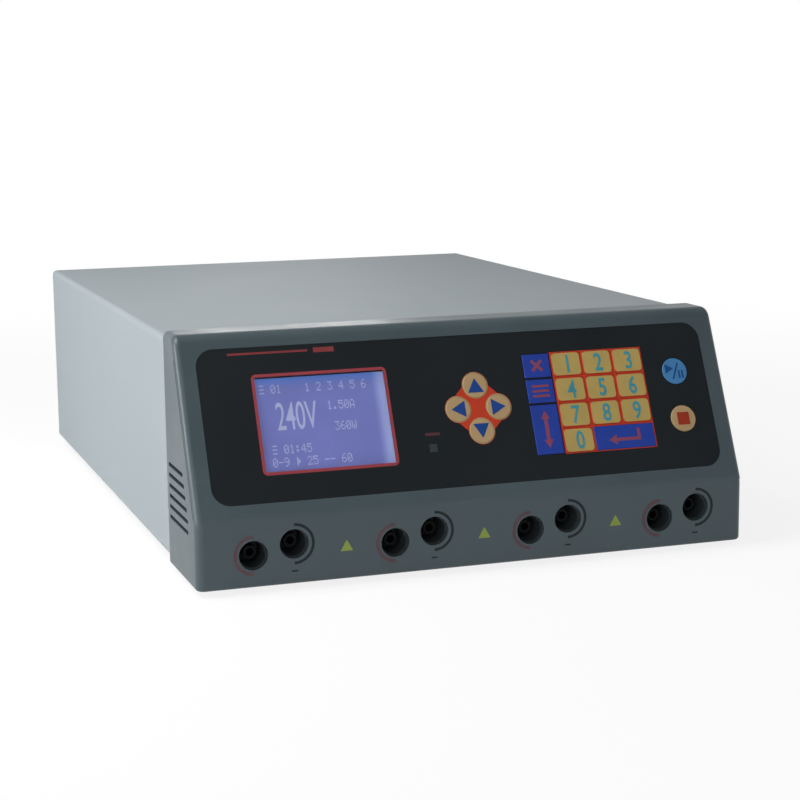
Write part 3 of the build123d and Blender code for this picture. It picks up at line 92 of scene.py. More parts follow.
class SupplySizes(bpy.types.PropertyGroup):
    """Sizes of the printed marks and small parts."""

    lower_face: length("Lower face", "Height of the upright face below the slanted one", 33.6)
    setback: length("Setback", "How far the slanted face leans back", 40.7)
    ink: length("Ink", "Thickness of a printed mark", 0.05)
    ink_sunk: length("Ink sunk", "How far a printed mark is sunk into what carries it", 0.02)
    film_depth: length("Film depth", "How far the film lies below the slanted face", 0.1)
    display_width: length("Display width", "Width of the film's window", 68.3)
    display_height: length("Display height", "Height of the film's window", 49.2)
    display_line: length("Display line", "Width of the red line round the window", 1.6)
    display_corner: length("Display corner", "Corner radius of that line", 2.6)
    key_edge: length("Key edge", "Width of the ink left round a number key's print", 0.3)
    key_corner: length("Key corner", "Corner radius of a number key's print", 2.0)
    key_gap: length("Key gap", "Width of the dark gap left round a key", 0.15)
    ink_depth: length("Ink depth", "How far the ink runs down into the gaps between the keys", 0.45)
    block_border: length("Block border", "Width of the ink round the whole number block", 0.6)
    digit_height: length("Digit height", "Height of the digits on the keys", 9.8)
    digit_shift: length("Digit shift", "How far a digit stands right of its key's middle", 0.7)
    arrow_width: length("Arrow width", "Width of the arrow on an arrow key", 8.8)
    arrow_height: length("Arrow height", "Height of the arrow on an arrow key", 7.8)
    arrow_ease: length("Arrow ease", "Rounding of the arrow's corners", 0.2)
    arrow_rim: length("Arrow rim", "Width of the cream ring printed round each arrow key", 0.5)
    pad_rim: length("Pad rim", "Width of the ink round each cream ring", 0.15)
    pad_waist: length("Pad waist", "How far the pad draws in between the arrow keys", 2.3)
    minus_radius: length("Minus ring radius", "Middle radius of the black half rings", 9.8)
    minus_width: length("Minus ring width", "Width of the black half rings", 1.4)
    plus_radius: length("Plus ring radius", "Middle radius of the dull red half rings", 9.4)
    plus_width: length("Plus ring width", "Width of the dull red half rings", 1.7)
    dash_length: length("Dash length", "Length of the dashes below the minus sockets", 3.2)
    dash_height: length("Dash height", "Height of those dashes", 0.8)
    mark_width: length("Mark width", "Width of the yellow triangles", 6.7)
    mark_height: length("Mark height", "Height of the yellow triangles", 5.762)
    mark_ease: length("Mark ease", "Rounding of their corners", 0.35)


class SupplyColours(bpy.types.PropertyGroup):
    """Colours of the finishes."""

    case: colour("Case", "Light grey paint of the cover and the rear panel", "929A9E")
    front: colour("Front", "Slate grey of the moulded front", "3B4A50")
    film: colour("Film", "Near black of the printed film", "1B2023")
    cream: colour("Cream", "Print on the number keys", "B49C5C")
    pale: colour("Pale", "Arrow keys and stop key", "B0956D")
    orange: colour("Orange", "Ink round the number and arrow keys", "BE3D26")
    blue: colour("Blue", "Blue keys", "27409A")
    arrow: colour("Arrow", "Arrows on the arrow keys", "1F4488")
    cyan: colour("Cyan", "Digits on the keys", "428F9C")
    sky: colour("Sky", "Run key", "467EB1")
    red: colour("Red", "Marks on the blue keys and the stop key", "983620")
    display: colour("Display", "Lit display", "6B70AD")
    yellow: colour("Yellow", "Triangles between the socket pairs", "8A9B4C")


def sizes():
    return bpy.context.scene.supply_sizes


def colours():
    return bpy.context.scene.supply_colours


# Places on the object

def slope_place():
    """The slanted face: X to the right, Y up the slope and Z outwards, from the middle of the bend."""
    low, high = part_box("front_bezel")
    bend = low[2] + sizes().lower_face
    rise = high[2] - bend
    up = Vector((0, sizes().setback, rise)).normalized()
    out = Vector((0, -up.z, up.y))
    lean = Matrix(((1, 0, 0), (0, up.y, out.y), (0, up.z, out.z))).to_4x4()
    return Matrix.Translation((0, low[1], bend)) @ lean


class Patch(namedtuple("Patch", "left right low high level")):
    """A rectangle on the slanted face, at a level above it."""

    u = property(lambda self: (self.left + self.right) / 2)
    v = property(lambda self: (self.low + self.high) / 2)
    width = property(lambda self: self.right - self.left)
    height = property(lambda self: self.high - self.low)


# How far below its highest point a node's face on the slant may reach
FACE_DEPTH = 0.4 * MM


def slope_extent(node):
    """The patch that a node takes up on the slanted face, at its outermost level."""
    back = slope_place().inverted()
    points = [back @ v.co for v in NODES[node].data.vertices]
    top = max(p.z for p in points)
    face = [p for p in points if p.z > top - FACE_DEPTH]
    us = [p.x for p in face]
    vs = [p.y for p in face]
    return Patch(min(us), max(us), min(vs), max(vs), top)


def solid_boxes(node):
    """The lowest and highest corners of each separate solid of a node, from left to right."""
    shape = bmesh.new()
    shape.from_mesh(NODES[node].data)
    bmesh.ops.remove_doubles(shape, verts=shape.verts, dist=1e-6)
    left = set(shape.verts)
    boxes = []
    while left:
        front = [left.pop()]
        points = []
        while front:
            vert = front.pop()
            points.append(vert.co.copy())
            for edge in vert.link_edges:
                other = edge.other_vert(vert)
                if other in left:
                    left.remove(other)
                    front.append(other)
        low = Vector([min(p[k] for p in points) for k in range(3)])
        high = Vector([max(p[k] for p in points) for k in range(3)])
        boxes.append((low, high))
    shape.free()
    return sorted(boxes, key=lambda box: (round(box[0].x, 5), round(box[0].y, 5), box[0].z))


# Modelling by hand

def pick(*pieces):
    """Select these pieces and no others, with the first one active."""
    bpy.ops.object.select_all(action="DESELECT")
    for piece in pieces:
        piece.select_set(True)
    if pieces:
        bpy.context.view_layer.objects.active = pieces[0]


def edit(piece):
    """Enter edit mode on one piece, with all of it selected."""
    pick(piece)
    bpy.ops.object.mode_set(mode="EDIT")
    bpy.ops.mesh.select_all(action="SELECT")


def leave():
    bpy.ops.object.mode_set(mode="OBJECT")


def new_piece(name, add, **options):
    """A new piece from one of Blender's simple shapes, to be worked further."""
    pick()
    add(**options)
    piece = bpy.context.object
    piece.name = name
    return piece


def close_up():
    """Turn all faces of the piece outwards and leave edit mode."""
    bpy.ops.mesh.select_all(action="SELECT")
    bpy.ops.mesh.normals_make_consistent(inside=False)
    leave()


def draw_up(piece, height):
    """Extrude the selected faces upwards to a closed solid, and leave edit mode."""
    bpy.ops.mesh.extrude_region_move(TRANSFORM_OT_translate={"value": (0, 0, height)})
    close_up()
    return piece


def plate(name, width, height, thick, corner=0.0, line=0.0):
    """A flat plate on XY with rounded corners, or only its outer line, where a line width is given."""
    piece = new_piece(name, bpy.ops.mesh.primitive_plane_add, size=1)
    edit(piece)
    bpy.ops.transform.resize(value=(width, height, 1))
    if corner > 0:
        bpy.ops.mesh.bevel(offset=corner, segments=6, affect="VERTICES")
    if line > 0:
        bpy.ops.mesh.select_all(action="SELECT")
        bpy.ops.mesh.inset(thickness=line, use_boundary=True)
        bpy.ops.mesh.delete(type="FACE")
        bpy.ops.mesh.select_all(action="SELECT")
    return draw_up(piece, thick)


def round_plate(name, radius, thick, corners=72, line=0.0):
    """A round plate on XY, or only its rim."""
    fill = "NOTHING" if line > 0 else "NGON"
    add = bpy.ops.mesh.primitive_circle_add
    piece = new_piece(name, add, vertices=corners, radius=radius, fill_type=fill)
    edit(piece)
    if line > 0:
        share = (radius - line) / radius
        bpy.ops.mesh.extrude_region_move(TRANSFORM_OT_translate={"value": (0, 0, 0)})
        bpy.ops.transform.resize(value=(share, share, 1))
        bpy.ops.mesh.select_all(action="SELECT")
    return draw_up(piece, thick)


def triangle(name, width, height, thick, ease):
    """A triangle on XY that points up, with eased corners."""
    piece = new_piece(name, bpy.ops.mesh.primitive_circle_add, vertices=3, radius=1, fill_type="NGON")
    low = min(v.co.y for v in piece.data.vertices)
    half = max(v.co.x for v in piece.data.vertices)
    edit(piece)
    bpy.ops.transform.translate(value=(0, -(1 + low) / 2, 0))
    bpy.ops.transform.resize(value=(width / 2 / half, height / (1 - low), 1))
    bpy.ops.mesh.bevel(offset=ease, segments=3, affect="VERTICES")
    bpy.ops.mesh.select_all(action="SELECT")
    return draw_up(piece, thick)


def arc_band(name, radius, width, thick, start, turn):
    """Part of a flat ring on XY: a small section spun round Z."""
    piece = new_piece(name, bpy.ops.mesh.primitive_plane_add, size=1)
    edit(piece)
    bpy.ops.transform.resize(value=(width, thick, 1))
    leave()
    stand = Matrix.Rotation(start, 4, "Z") @ Matrix.Translation((radius, 0, thick / 2))
    settle(piece, stand @ Matrix.Rotation(math.pi / 2, 4, "X"))
    edit(piece)
    bpy.ops.mesh.spin(steps=36, angle=turn, center=(0, 0, 0), axis=(0, 0, 1))
    bpy.ops.mesh.select_all(action="SELECT")
    bpy.ops.mesh.remove_doubles(threshold=1e-7)
    close_up()
    return piece


def letters(name, body, height, thick, narrow=1.0, bold=0.0):
    """Digits or signs on XY as a closed mesh, centred on their own box and of the given height."""
    piece = new_piece(name, bpy.ops.object.text_add)
    piece.data.body = body
    piece.data.extrude = 0.5
    piece.data.offset = bold
    bpy.ops.object.convert(target="MESH")
    piece = bpy.context.object
    xs = [v.co.x for v in piece.data.vertices]
    ys = [v.co.y for v in piece.data.vertices]
    middle = Matrix.Translation((-(min(xs) + max(xs)) / 2, -(min(ys) + max(ys)) / 2, 0.5))
    scale = height / (max(ys) - min(ys))
    settle(piece, Matrix.Diagonal((scale * narrow, scale, thick, 1)) @ middle)
    edit(piece)
    bpy.ops.mesh.remove_doubles(threshold=1e-7)
    leave()
    return piece


# A dot's share of its own square, and each sign's seven rows of five dots as binary numbers
DOT_FILL = 0.86
DOTS = {
    "0": (14, 17, 19, 21, 25, 17, 14),
    "1": (4, 12, 4, 4, 4, 4, 14),
    "2": (14, 17, 1, 2, 4, 8, 31),
    "3": (31, 2, 4, 2, 1, 17, 14),
    "4": (2, 6, 10, 18, 31, 2, 2),
    "5": (31, 16, 30, 1, 1, 17, 14),
    "6": (6, 8, 16, 30, 17, 17, 14),
    "7": (31, 1, 2, 4, 8, 8, 8),
    "8": (14, 17, 17, 14, 17, 17, 14),
    "9": (14, 17, 17, 15, 1, 2, 12),
    "A": (14, 17, 17, 17, 31, 17, 17),
    "V": (17, 17, 17, 17, 17, 10, 4),
    "W": (17, 17, 17, 21, 21, 21, 10),
    ".": (0, 0, 0, 0, 0, 12, 12),
    ":": (0, 12, 12, 0, 12, 12, 0),
    ">": (8, 12, 14, 15, 14, 12, 8),
    "=": (31, 0, 0, 31, 0, 0, 31),
    "-": (0, 0, 0, 31, 0, 0, 0),
    " ": (0, 0, 0, 0, 0, 0, 0),
}


def dot_reading(name, body, wide, tall, thick):
    """A reading in square dots, five across and seven high a sign, from its lower left corner."""
    dot = plate("dot", DOT_FILL * wide, DOT_FILL * tall, thick)
    dots = []
    for place, sign in enumerate(body):
        for line, bits in enumerate(DOTS[sign]):
            for step in range(5):
                if bits >> (4 - step) & 1:
                    x = (6 * place + step + 0.5) * wide
                    y = (6 - line + 0.5) * tall
                    dots.append(shift(copy_of(dot, "dot"), x, y))
    bpy.data.objects.remove(dot)
    return join(name, dots)


def settle(piece, place):
    """Put a piece at its place and bake the place into its mesh."""
    pick(piece)
    piece.matrix_world = place
    bpy.ops.object.transform_apply(location=True, rotation=True, scale=True)
    if place.determinant() < 0:
        edit(piece)
        close_up()
    return piece


def turned(x, y, z, turn):
    """A place with a turn round Z."""
    return Matrix.Translation((x, y, z)) @ Matrix.Rotation(turn, 4, "Z")


def shift(piece, x, y, z=0.0, turn=0.0):
    """Turn a piece round Z and then move it."""
    return settle(piece, turned(x, y, z, turn))


def join(name, pieces):
    """One piece out of several."""
    pick(*pieces)
    if len(pieces) > 1:
        bpy.ops.object.join()
    pieces[0].name = name
    return pieces[0]


def copy_of(piece, name):
    """A copy with its own mesh."""
    other = piece.copy()
    other.data = piece.data.copy()
    other.name = name
    bpy.context.collection.objects.link(other)
    return other


def cut(piece, tool, operation="DIFFERENCE"):
    """Cut one piece with another, or add it, and take the tool away."""
    pick(piece)
    change = piece.modifiers.new("Cut", "BOOLEAN")
    change.operation = operation
    change.solver = "EXACT"
    change.object = tool
    bpy.ops.object.modifier_apply(modifier=change.name)
    bpy.data.objects.remove(tool)
    return piece


def soften(piece, degrees=35):
    """Smooth shading, apart from the edges sharper than an angle."""
    pick(piece)
    bpy.ops.object.shade_smooth_by_angle(angle=math.radians(degrees))


def finish_piece(piece, material, body="case"):
    """Give a new piece its material and its body."""
    piece.data.materials.clear()
    piece.data.materials.append(material)
    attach(piece, body)
    return piece


def on_slope(piece, u, v, level, turn=0.0):
    """Lay a piece that was made on XY onto the slanted face."""
    return settle(piece, slope_place() @ turned(u, v, level, turn))


def on_front(piece, x, z):
    """Lay ink that was made on XY onto the upright lower face, and sink it a little into it."""
    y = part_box("front_bezel")[0][1] + sizes().ink_sunk
    return settle(piece, Matrix.Translation((x, y, z)) @ Matrix.Rotation(math.pi / 2, 4, "X"))


def print_on_key(piece, node, material, turn=0.0):
    """Lay ink on the middle of a key's face, to move with the key."""
    face = slope_extent(node)
    on_slope(piece, face.u, face.v, face.level - sizes().ink_sunk, turn)
    return finish_piece(piece, material, body=node)


def film_level():
    """Where the ink on the film starts."""
    return -sizes().film_depth - sizes().ink_sunk


def ink_height():
    return sizes().ink + sizes().ink_sunk


# Shader trees: an input takes an output, or a plain value

def feed(tree, socket, value):
    """Link an output to an input, or set a plain value on it."""
    if isinstance(value, bpy.types.NodeSocket):
        tree.links.new(value, socket)
    else:
        socket.default_value = value


def feed_all(tree, node, inputs):
    """Feed a node's inputs by name, with _ for each space, and give the node back."""
    for label, value in inputs.items():
        feed(tree, node.inputs[label.replace("_", " ")], value)
    return node


def add_node(tree, kind, **inputs):
    """A shader node with its inputs fed."""
    return feed_all(tree, tree.nodes.new("ShaderNode" + kind), inputs)


def calculate(tree, operation, first, second):
    """The result of a sum with two values."""
    node = tree.nodes.new("ShaderNodeMath")
    node.operation = operation
    feed(tree, node.inputs[0], first)
    feed(tree, node.inputs[1], second)
    return node.outputs["Value"]


def spread(tree, value, low, high, to_low=0.0, to_high=1.0, smooth=False):
    """A value between low and high, spread over another range."""
    ends = {"From_Min": low, "From_Max": high, "To_Min": to_low, "To_Max": to_high}
    node = add_node(tree, "MapRange", Value=value, **ends)
    if smooth:
        node.interpolation_type = "SMOOTHSTEP"
    return node.outputs["Result"]


def mix_colours(tree, share, tone, other, blend="MIX"):
    """Two colours mixed by a share."""
    node = tree.nodes.new("ShaderNodeMix")
    node.data_type = "RGBA"
    node.blend_type = blend
    return feed_all(tree, node, {"Factor": share, "A": tone, "B": other}).outputs["Result"]


def mix_shaders(tree, share, first, other, end):
    """Two shaders mixed by a share, on the tree's end node."""
    mix = add_node(tree, "MixShader", Fac=share)
    tree.links.new(first, mix.inputs[1])
    tree.links.new(other, mix.inputs[2])
    tree.links.new(mix.outputs["Shader"], tree.nodes[end].inputs["Surface"])


def noise(tree, place, scale, detail=2.0):
    """A soft random value from 0 to 1."""
    return add_node(tree, "TexNoise", Vector=place, Scale=scale, Detail=detail).outputs["Fac"]


def looking(tree):
    """A mask of the rays that see, mirror or look through, and not those that light."""
    rays = tree.nodes.new("ShaderNodeLightPath").outputs
    mirror = calculate(tree, "MAXIMUM", rays["Is Camera Ray"], rays["Is Glossy Ray"])
    return calculate(tree, "MAXIMUM", mirror, rays["Is Transmission Ray"])


# Node groups for shared effects

def new_group(name, inputs, outputs):
    """A node group: its tree, what comes in and what goes out. An input is a kind or a number."""
    group = bpy.data.node_groups.new(name, "ShaderNodeTree")
    for label, value in inputs.items():
        kind = value if isinstance(value, str) else "Float"
        socket = group.interface.new_socket(label, in_out="INPUT", socket_type="NodeSocket" + kind)
        if kind == "Float":
            socket.default_value = value
    for label, kind in outputs.items():
        group.interface.new_socket(label, in_out="OUTPUT", socket_type="NodeSocket" + kind)
    given = group.nodes.new("NodeGroupInput").outputs
    return group, given, group.nodes.new("NodeGroupOutput").inputs


def mottle_group():
    """Two tones mixed by a soft pattern, and the pattern as a mask."""
    inputs = {"Vector": "Vector", "Scale": 20.0, "Tone": "Color", "Other tone": "Color"}
    group, given, out = new_group("Mottling", inputs, {"Color": "Color", "Mask": "Float"})
    mask = spread(group, noise(group, given["Vector"], given["Scale"], 5.0), 0.35, 0.65)
    feed(group, out["Color"], mix_colours(group, mask, given["Tone"], given["Other tone"]))
    feed(group, out["Mask"], mask)
    return group


def grain_group():
    """A fine surface grain with a few larger dimples, as a height."""
    inputs = {"Vector": "Vector", "Scale": 1500.0}
    group, given, out = new_group("Grain", inputs, {"Height": "Float"})
    fine = noise(group, given["Vector"], given["Scale"], 3.0)
    coarse = calculate(group, "MULTIPLY", given["Scale"], 0.5)
    dimples = add_node(group, "TexVoronoi", Vector=given["Vector"], Scale=coarse).outputs["Distance"]
    feed(group, out["Height"], calculate(group, "ADD", fine, dimples))
    return group


def dust_group():
    """A mask of thin dust that lies on upward faces."""
    inputs = {"Vector": "Vector", "Scale": 30.0, "Amount": 0.1}
    group, given, out = new_group("Dust", inputs, {"Mask": "Float"})
    normal = add_node(group, "NewGeometry").outputs["Normal"]
    rise = add_node(group, "SeparateXYZ", Vector=normal).outputs["Z"]
    upward = calculate(group, "MAXIMUM", rise, 0.0)
    patch = calculate(group, "MULTIPLY", upward, noise(group, given["Vector"], given["Scale"], 8.0))
    feed(group, out["Mask"], calculate(group, "MULTIPLY", patch, given["Amount"]))
    return group


def scuff_group():
    """A mask of a few fine, short rubbed lines."""
    group, given, out = new_group("Scuffs", {"Vector": "Vector", "Amount": 0.1}, {"Mask": "Float"})
    drawn = {"Rotation": (0.3, 0.2, 0.7), "Scale": (14.0, 420.0, 420.0)}
    along = add_node(group, "Mapping", Vector=given["Vector"], **drawn).outputs["Vector"]
    line = spread(group, noise(group, along, 1.0, 1.0), 0.66, 0.74)
    patch = spread(group, noise(group, given["Vector"], 16.0), 0.48, 0.62)
    both = calculate(group, "MULTIPLY", line, patch)
    feed(group, out["Mask"], calculate(group, "MULTIPLY", both, given["Amount"]))
    return group


GROUPS = {"Mottling": mottle_group, "Grain": grain_group, "Dust": dust_group, "Scuffs": scuff_group}


def place_group(tree, name, **inputs):
    """A shared node group in a material, made on its first use: its outputs."""
    node = tree.nodes.new("ShaderNodeGroup")
    node.node_tree = bpy.data.node_groups.get(name) or GROUPS[name]()
    return feed_all(tree, node, inputs).outputs


# Materials

def new_material(name):
    """A material, its tree, its shader and the place on the object."""
    material = bpy.data.materials.new(name)
    material.use_nodes = True
    tree = material.node_tree
    place = tree.nodes.new("ShaderNodeTexCoord").outputs["Object"]
    return material, tree, tree.nodes["Principled BSDF"], place


def tint(tone, factor):
    """A tone made lighter or darker."""
    return (*[min(1.0, c * factor) for c in tone[:3]], 1.0)


def surface(
    name, tone, rough=0.5, metal=0.0, grain=1500.0, depth=0.02, mottle=25.0, contrast=0.06,
    dust=0.0, coat=0.0, rough_spread=0.06, glow=0.0, sheen=0.5, scuffs=0.0,
):
    """A finish with soft mottling, a fine grain, uneven gloss, rubbed lines and dust on top."""
    known = bpy.data.materials.get(name)
    if known:
        return known
    if isinstance(tone, str):
        tone = as_colour(tone)
    material, tree, shader, place = new_material(name)
    vector = add_node(tree, "Mapping", Vector=place).outputs["Vector"]
    tones = {"Tone": tint(tone, 1 - contrast), "Other_tone": tint(tone, 1 + contrast)}
    pattern = place_group(tree, "Mottling", Vector=vector, Scale=mottle, **tones)
    shown = pattern["Color"]
    if scuffs > 0:
        rubbed = place_group(tree, "Scuffs", Vector=vector, Amount=scuffs)["Mask"]
        shown = mix_colours(tree, rubbed, shown, tint(tone, 1.9))
    if dust > 0:
        settled = place_group(tree, "Dust", Vector=vector, Amount=dust)["Mask"]
        shown = mix_colours(tree, settled, shown, as_colour("B8B6B0"))
    gloss = max(0.02, rough - rough_spread), min(1.0, rough + rough_spread)
    looks = {"Base Color": shown, "Roughness": spread(tree, pattern["Mask"], 0.0, 1.0, *gloss)}
    looks |= {"Metallic": metal, "Coat Weight": coat, "Coat Roughness": 0.08, "Specular IOR Level": sheen}
    if depth > 0:
        height = place_group(tree, "Grain", Vector=vector, Scale=grain)["Height"]
        bump = add_node(tree, "Bump", Strength=0.5, Distance=depth * MM, Height=height)
        looks["Normal"] = bump.outputs["Normal"]
    if glow > 0:
        looks |= {"Emission Color": shown, "Emission Strength": glow}
    feed_all(tree, shader, looks)
    return material


def ink(name, tone, mottle=80.0, contrast=0.04):
    """Screen-printed ink: even, satin, with a faint texture."""
    return surface(
        name, tone, rough=0.42, grain=2500.0, depth=0.004, mottle=mottle, contrast=contrast, sheen=0.15
    )


def key_plastic(name, tone, contrast=0.05):
    """Satin plastic of a key, close to the ink."""
    return ink(name, tone, mottle=60.0, contrast=contrast)


def lens_glass():
    """Clear window plastic with faint smears."""
    material, tree, shader, place = new_material("Window")
    rough = spread(tree, noise(tree, place, 60.0), 0.0, 1.0, 0.01, 0.06)
    looks = {"Base Color": as_colour("F4F6FA"), "Transmission Weight": 1.0, "IOR": 1.12}
    feed_all(tree, shader, looks | {"Roughness": rough})
    return material


# The lit display turns blue from this share of its height, and pale between these ways from its right
# edge, where a painted highlight stands for glare
BLUE_FROM = 0.82
GLARE_BETWEEN = (10 * MM, 1 * MM)


def display_material():
    """The lit display: bluer at the top, paler along the right edge with a painted highlight of glare,
    and a little cloudy.
    """
    material, tree, shader, place = new_material("Display picture")
    low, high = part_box("lcd_lens")
    across = add_node(tree, "SeparateXYZ", Vector=place).outputs
    blue_from = low[2] + BLUE_FROM * (high[2] - low[2])
    upward = spread(tree, across["Z"], blue_from, high[2] - 2 * MM)
    # Painted highlight: a pale band of glare mixed in along the display's right edge
    glare_share = spread(tree, across["X"], *(high[0] - way for way in GLARE_BETWEEN), smooth=True)
    top = mix_colours(tree, upward, colours().display, as_colour("4C7CCB"))
    edge = mix_colours(tree, glare_share, top, as_colour("A9B4E2"))
    tones = {"Tone": (0.9, 0.9, 0.9, 1.0), "Other_tone": (1.0, 1.0, 1.0, 1.0)}
    cloud = place_group(tree, "Mottling", Vector=place, Scale=45.0, **tones)["Color"]
    shown = mix_colours(tree, 1.0, edge, cloud, blend="MULTIPLY")
    looks = {"Base Color": shown, "Emission Color": shown, "Emission Strength": 0.36}
    feed_all(tree, shader, looks | {"Roughness": 0.35})
    return material


def paint_nodes(material, *nodes):
    """Give CAD nodes a better material."""
    for node in nodes:
        for slot in NODES[node].material_slots:
            slot.material = material


def finish_nodes(nodes, name, tone, **settings):
    """Give CAD nodes, named in one text, a finish of their own."""
    paint_nodes(surface(name, tone, **settings), *nodes.split())


# The pieces

class SUPPLY_OT_case_finish(bpy.types.Operator):
    """Paint the cover and the rear panel, and finish the tray, the feet and the fasteners"""

    bl_idname = "supply.case_finish"
    bl_label = "Case finish"

    def execute(self, context):
        finish_nodes(
            "top_cover rear_panel", "Cover paint", colours().case, rough=0.68, grain=900.0, depth=0.035,
            mottle=9.0, contrast=0.025, dust=0.06, rough_spread=0.04, sheen=0.15, scuffs=0.08,
        )
        finish_nodes(
            "bottom_chassis finger_guard board_standoffs", "Zinc plate", "A8A8A6", rough=0.38, metal=1.0,
            grain=600.0, depth=0.01, mottle=60.0, contrast=0.12, rough_spread=0.10,
        )
        finish_nodes(
            "rubber_feet", "Foot rubber", "1B1B1C", rough=0.82, grain=1800.0, depth=0.05, mottle=120.0,
            contrast=0.15, dust=0.25,
        )
        return {"FINISHED"}


class SUPPLY_OT_front_finish(bpy.types.Operator):
    """Finish the moulded front, its film, window and sockets"""

    bl_idname = "supply.front_finish"
    bl_label = "Front finish"

    def execute(self, context):
        finish_nodes(
            "front_bezel", "Moulded front", colours().front, rough=0.4, grain=1400.0, depth=0.03,
            mottle=14.0, contrast=0.05, dust=0.05, rough_spread=0.05, scuffs=0.1,
        )
        finish_nodes(
            "membrane_overlay", "Printed film", colours().film, grain=3000.0, depth=0.006, mottle=18.0,
            contrast=0.08, sheen=0.12,
        )
        finish_nodes(
            "plus_sockets minus_sockets", "Socket plastic", "373D40", rough=0.6, grain=1600.0,
            mottle=90.0, contrast=0.12, sheen=0.2,
        )
        finish_nodes(
            "contact_sleeves", "Sleeve plastic", "1B1E20", rough=0.8, grain=1600.0, depth=0.01,
            mottle=90.0, contrast=0.12, sheen=0.08,
        )
        # The contacts' dark brown grey is painted shade of the deep socket wells, darker than their
        # plated metal
        finish_nodes(
            "socket_contacts", "Contact in painted shade", "2E2B25", metal=1.0, grain=2000.0, depth=0.004,
            mottle=300.0, contrast=0.15, rough_spread=0.08,
        )
        finish_nodes(
            "status_led", "Lamp body", "555C5C", rough=0.3, grain=2500.0, depth=0.004, mottle=200.0,
            contrast=0.08,
        )
        paint_nodes(lens_glass(), "lcd_lens")
        return {"FINISHED"}


# The picture runs past the window to the left, right, below and above, and its back lies deeper than
# the display's frame
PICTURE_PAST = (1.6 * MM, 1.7 * MM, 1.7 * MM, 0.0)
PICTURE_THICK = 0.3 * MM
PICTURE_SUNK = 0.4 * MM
# A reading sinks a little into the picture; a dot's width and height
READING_SUNK = 0.02 * MM
READING_THICK = 0.06 * MM
DOT_SIZE = (0.5 * MM, 0.66 * MM)
# The large reading's text, height, share of its own width, boldness, and middle from the window's
LARGE_READING = ("240V", 14.6 * MM, 0.5, 0.004)
LARGE_PLACE = (-13.6 * MM, 4.4 * MM)
# Name, text and the place of its lower left corner from the window's middle, in millimetres
READINGS = (
    ("top_left", "= 01", -31.5, 16.6),
    ("top_right", "1 2 3 4 5 6", -7.5, 16.6),
    ("current", "1.50A", 3.0, 6.4),
    ("power", "360W", 5.6, -4.6),
    ("clock", "= 01:45", -28.6, -15.0),
    ("progress", "0-9 > 25 -- 60", -29.2, -21.6),
)


class SUPPLY_OT_display(bpy.types.Operator):
    """Model the red line round the display, the lit picture and its readings"""

    bl_idname = "supply.display"
    bl_label = "Display"

    def execute(self, context):
        s = sizes()
        window = slope_extent("lcd_lens")
        width = s.display_width + 2 * s.display_line
        height = s.display_height + 2 * s.display_line
        line = plate(
            "display_line", width, height, ink_height(), corner=s.display_corner, line=s.display_line
        )
        on_slope(line, window.u, window.v, film_level())
        finish_piece(line, ink("Red line", "984249"))
        below = slope_extent("lcd_module").level - PICTURE_SUNK
        left, right, low, high = PICTURE_PAST
        width = s.display_width + left + right
        height = s.display_height + low + high
        picture = plate("display_picture", width, height, PICTURE_THICK)
        on_slope(picture, window.u + (right - left) / 2, window.v + (high - low) / 2, below)
        finish_piece(picture, display_material())
        white = surface(
            "Display reading", "A6AACA", rough=0.4, grain=2500.0, depth=0.0, mottle=90.0, contrast=0.05,
            glow=0.25,
        )
        top = below + PICTURE_THICK - READING_SUNK
        body, tall, narrow, bold = LARGE_READING
        large = letters("reading_large", body, tall, READING_THICK, narrow, bold)
        readings = [on_slope(large, window.u + LARGE_PLACE[0], window.v + LARGE_PLACE[1], top)]
        for name, body, du, dv in READINGS:
            text = dot_reading("reading_" + name, body, *DOT_SIZE, READING_THICK)
            readings.append(on_slope(text, window.u + du * MM, window.v + dv * MM, top))
        finish_piece(join("display_readings", readings), white)
        return {"FINISHED"}


# Height of a tool that cuts right through a sheet of ink
THROUGH = 2 * MM


class SUPPLY_OT_number_block(bpy.types.Operator):
    """Model the ink between the number keys, the print on each key and its digit"""

    bl_idname = "supply.number_block"
    bl_label = "Number block"

    def execute(self, context):
        s = sizes()
        orange = ink("Orange ink", colours().orange)
        cream = ink("Cream ink", colours().cream)
        cyan = ink("Cyan ink", colours().cyan)
        numbered = [node for node in NODES if node.startswith("key_") and node[4:].isdigit()]
        cells = {node: slope_extent(node) for node in numbered + ["key_enter"]}
        self.lattice("number_lattice", cells.values(), orange)
        for node in numbered:
            cell = cells[node]
            paint_nodes(orange, node)
            width = cell.width - 2 * s.key_edge
            height = cell.height - 2 * s.key_edge
            face = plate(node + "_print", width, height, ink_height(), corner=s.key_corner)
            print_on_key(face, node, cream)
            digit = letters(node + "_digit", node[4:], s.digit_height, s.ink * 2, narrow=0.74, bold=0.018)
            on_slope(digit, cell.u + s.digit_shift, cell.v, cell.level)
            finish_piece(digit, cyan, body=node)
        return {"FINISHED"}

    def lattice(self, name, cells, material):
        """A printed lattice that shows between cells, with a border round them all."""
        s = sizes()
        whole = Patch(
            min(c.left for c in cells) - s.block_border,
            max(c.right for c in cells) + s.block_border,
            min(c.low for c in cells) - s.block_border,
            max(c.high for c in cells) + s.block_border,
            film_level() - s.ink_depth,
        )
        sheet = plate(name, whole.width, whole.height, ink_height() + s.ink_depth)
        on_slope(sheet, whole.u, whole.v, whole.level)
        for cell in cells:
            hole = plate("hole", cell.width + 2 * s.key_gap, cell.height + 2 * s.key_gap, THROUGH)
            cut(sheet, on_slope(hole, cell.u, cell.v, -THROUGH / 2))
        return finish_piece(sheet, material)


def flat_bar(x, y, width, height, turn=0.0):
    """A bar of ink on XY, its place and size in millimetres."""
    bar = plate("bar", width * MM, height * MM, ink_height())
    return shift(bar, x * MM, y * MM, turn=turn)


def flat_head(x, y, width, height, turn=0.0, ease=0.15):
    """An arrow's head on XY, its place and size in millimetres."""
    head = triangle("head", width * MM, height * MM, ink_height(), ease * MM)
    return shift(head, x * MM, y * MM, turn=turn)


